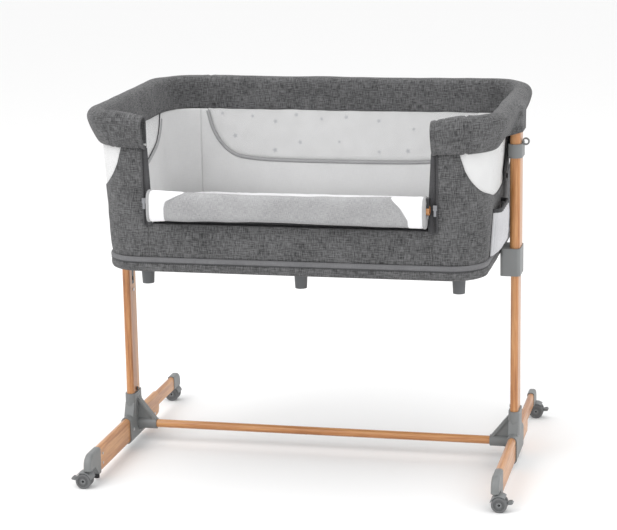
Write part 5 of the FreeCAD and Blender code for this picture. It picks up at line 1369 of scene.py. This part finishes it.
ABOVE_CLOTH = 0.0002
HEM = 0.0108
left_seam, right_seam = RIM_SEAMS[0] * rim_length, RIM_SEAMS[-1] * rim_length
stitched_rim = rim_outer + away_from_middle(rim_outer) * ABOVE_CLOTH
hem_lines = [
    stitched_rim[int(np.argmin(np.abs(rim_stations * rim_length - place)))]
    for place in (HEM, rim_length - HEM, left_seam + 0.006, left_seam - 0.006,
                  right_seam - 0.006, right_seam + 0.006)]
beads("rim_stitches", hem_lines, grey_thread)
front_line = front_outer[:, -3] - np.array([0, ABOVE_CLOTH, 0])
beads("front_wall_stitches", [front_line], grey_thread)

# %% Stitches of the panel and the ribbons
panel_lines = []
visible = panel_loop[:, 0] < 0.006
beside = BINDING + 0.0012
from_middle = PANEL_HALF - 0.0085
for line in (left_end - beside, left_end + beside, right_end - beside, right_end + beside,
             -from_middle, from_middle):
    row = panel_points(np.zeros((1, len(panel_loop))) + line)[0]
    out = unit(row - coords(row[:, 0], PANEL_Y, RAIL_Z))
    panel_lines.append((row + out * ABOVE_CLOTH)[visible])
beads("panel_stitches", panel_lines, pale_thread, "drop_side", 0.0036)
flat_line = smooth_through(back_knots, 260)
ribbon_lines = [
    on_back_inner(*(flat_line + left_of(np.gradient(flat_line, axis=0)) * shift).T, 0.0011)
    for shift in (-0.0036, 0.0036)]
beads("ribbon_stitches", ribbon_lines, grey_thread)

# %% [markdown]
# A zip runs up each side of the front opening. With the side down only its tape and one row
# of teeth are seen on the end walls. The tape is a ribbon along a straight line; the loose
# edge of the cloth beside it is a second ribbon that leans away from it.

# %% Zips
low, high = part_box("zip_slider_right")
TAPE_X = (low.x + high.x) / 2
TAPE_WIDTH = 0.011
TAPE_FACE = -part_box("end_wall_right")[0].y


def on_front(sign):
    """Points in front of the wall at the zip, by their distance from the middle."""
    return lambda across, height, lift: coords(sign * across, 0.0030 - TAPE_FACE - lift, height)


loose_knots = np.array([
    (TAPE_X - 0.0095, LOW_FRONT - 0.004), (TAPE_X - 0.009, LOW_FRONT + 0.045),
    (TAPE_X - 0.0065, LOW_FRONT + 0.10), (TAPE_X - 0.0035, RIM_FOOT - 0.001)])
tape_knots = np.array([(TAPE_X, LOW_FRONT - 0.004), (TAPE_X, (LOW_FRONT + RIM_FOOT) / 2),
                       (TAPE_X, RIM_FOOT - 0.001)])
for side, sign in SIDES:
    for name, knots, lift in (("zip_tape_", tape_knots, 0.0024), ("zip_edge_", loose_knots, 0.0018)):
        ribbon(name + side, knots, on_front(sign), dark_binding, lift, TAPE_WIDTH, count=60)
    teeth = [[(sign * TAPE_X, 0.0004 - TAPE_FACE, height)
              for height in (LOW_FRONT, RIM_FOOT - 0.002)]]
    beads("zip_teeth_" + side, teeth, lock_black, step=0.0022, width=0.0030, length=0.0014)

# %% [markdown]
# The back window has a print of small pale stars. They lie a hair in front of the knit, on
# the side that faces the basket.

# %% Printed stars
chosen = back_upper < RIM_FOOT - 0.012
rows = np.linspace(0, 1, 12)
heights = (back_upper + 0.010)[:, None] * (1 - rows) + (RIM_FOOT - 0.004) * rows
ground = back_surface(-BEHIND_CLOTH - SHEET - 0.0003, heights)[chosen]
work = Sewing()
work.grid(ground, ground[:, :, (0, 2)])
stars = scattered.mesh(work.mesh("star_ground", recalculate=False), Apart=0.050, Size=0.014,
                       Seed=5, Finish=star_print)
add_piece("printed_stars", stars, [star_print])

# %% [markdown]
# ## Straps beside the posts
#
# Behind each post a dark grey strap holds the basket's end and is drawn tight by two small
# black buckles. The strap is a ribbon on the outside of the wall; each buckle is a rounded
# ring of round section that leans with the strap.

# %% Straps and buckles


def on_end_outer(sign):
    """Points outside an end wall, by their y."""
    return lambda across, height, lift: coords(
        sign * (outline_sizes(height)[..., 0] + 0.0026 + lift), across, height)


def frame_ring(centre, sign, half_width, half_height, radius, lean=0.26):
    """A rounded rectangular ring of round section, lying on the end wall."""
    line = ring_line(half_width, half_height, half_height * 0.5, 60)
    along = np.roll(line, -1, 0) - np.roll(line, 1, 0)
    along[[0, -1]] = line[1] - line[-2]
    spot = line[:, None, :] - left_of(along)[:, None, :] * (radius * np.cos(ROUND))[:, None]
    across = spot[:, :, 0] * math.cos(lean) + spot[:, :, 1] * math.sin(lean)
    height = spot[:, :, 1] * math.cos(lean) - spot[:, :, 0] * math.sin(lean)
    return np.array(centre) + coords(sign * radius * np.sin(ROUND), across, height)


STRAP = np.array([(-0.021, 0.634), (-0.006, 0.664), (0.008, 0.692), (0.019, 0.716)])
for side, sign in SIDES:
    ribbon("strap_" + side, STRAP, on_end_outer(sign), dark_binding, lift=0.0012, width=0.030,
           count=80)
    for number, height in enumerate((0.633, 0.676)):
        across = float(np.interp(height, STRAP[:, 1], STRAP[:, 0]))
        reach = float(outline_sizes(np.array(height))[0]) + 0.0048
        centre = (sign * reach, across, height)
        sewn = Sewing()
        ring = frame_ring(centre, sign, 0.0172, 0.0066, 0.0015)
        sewn.grid(ring, ring[:, :, 1:])
        name = "buckle_%s_%d" % (side, number)
        add_piece(name, sewn.mesh(name), [lock_black])
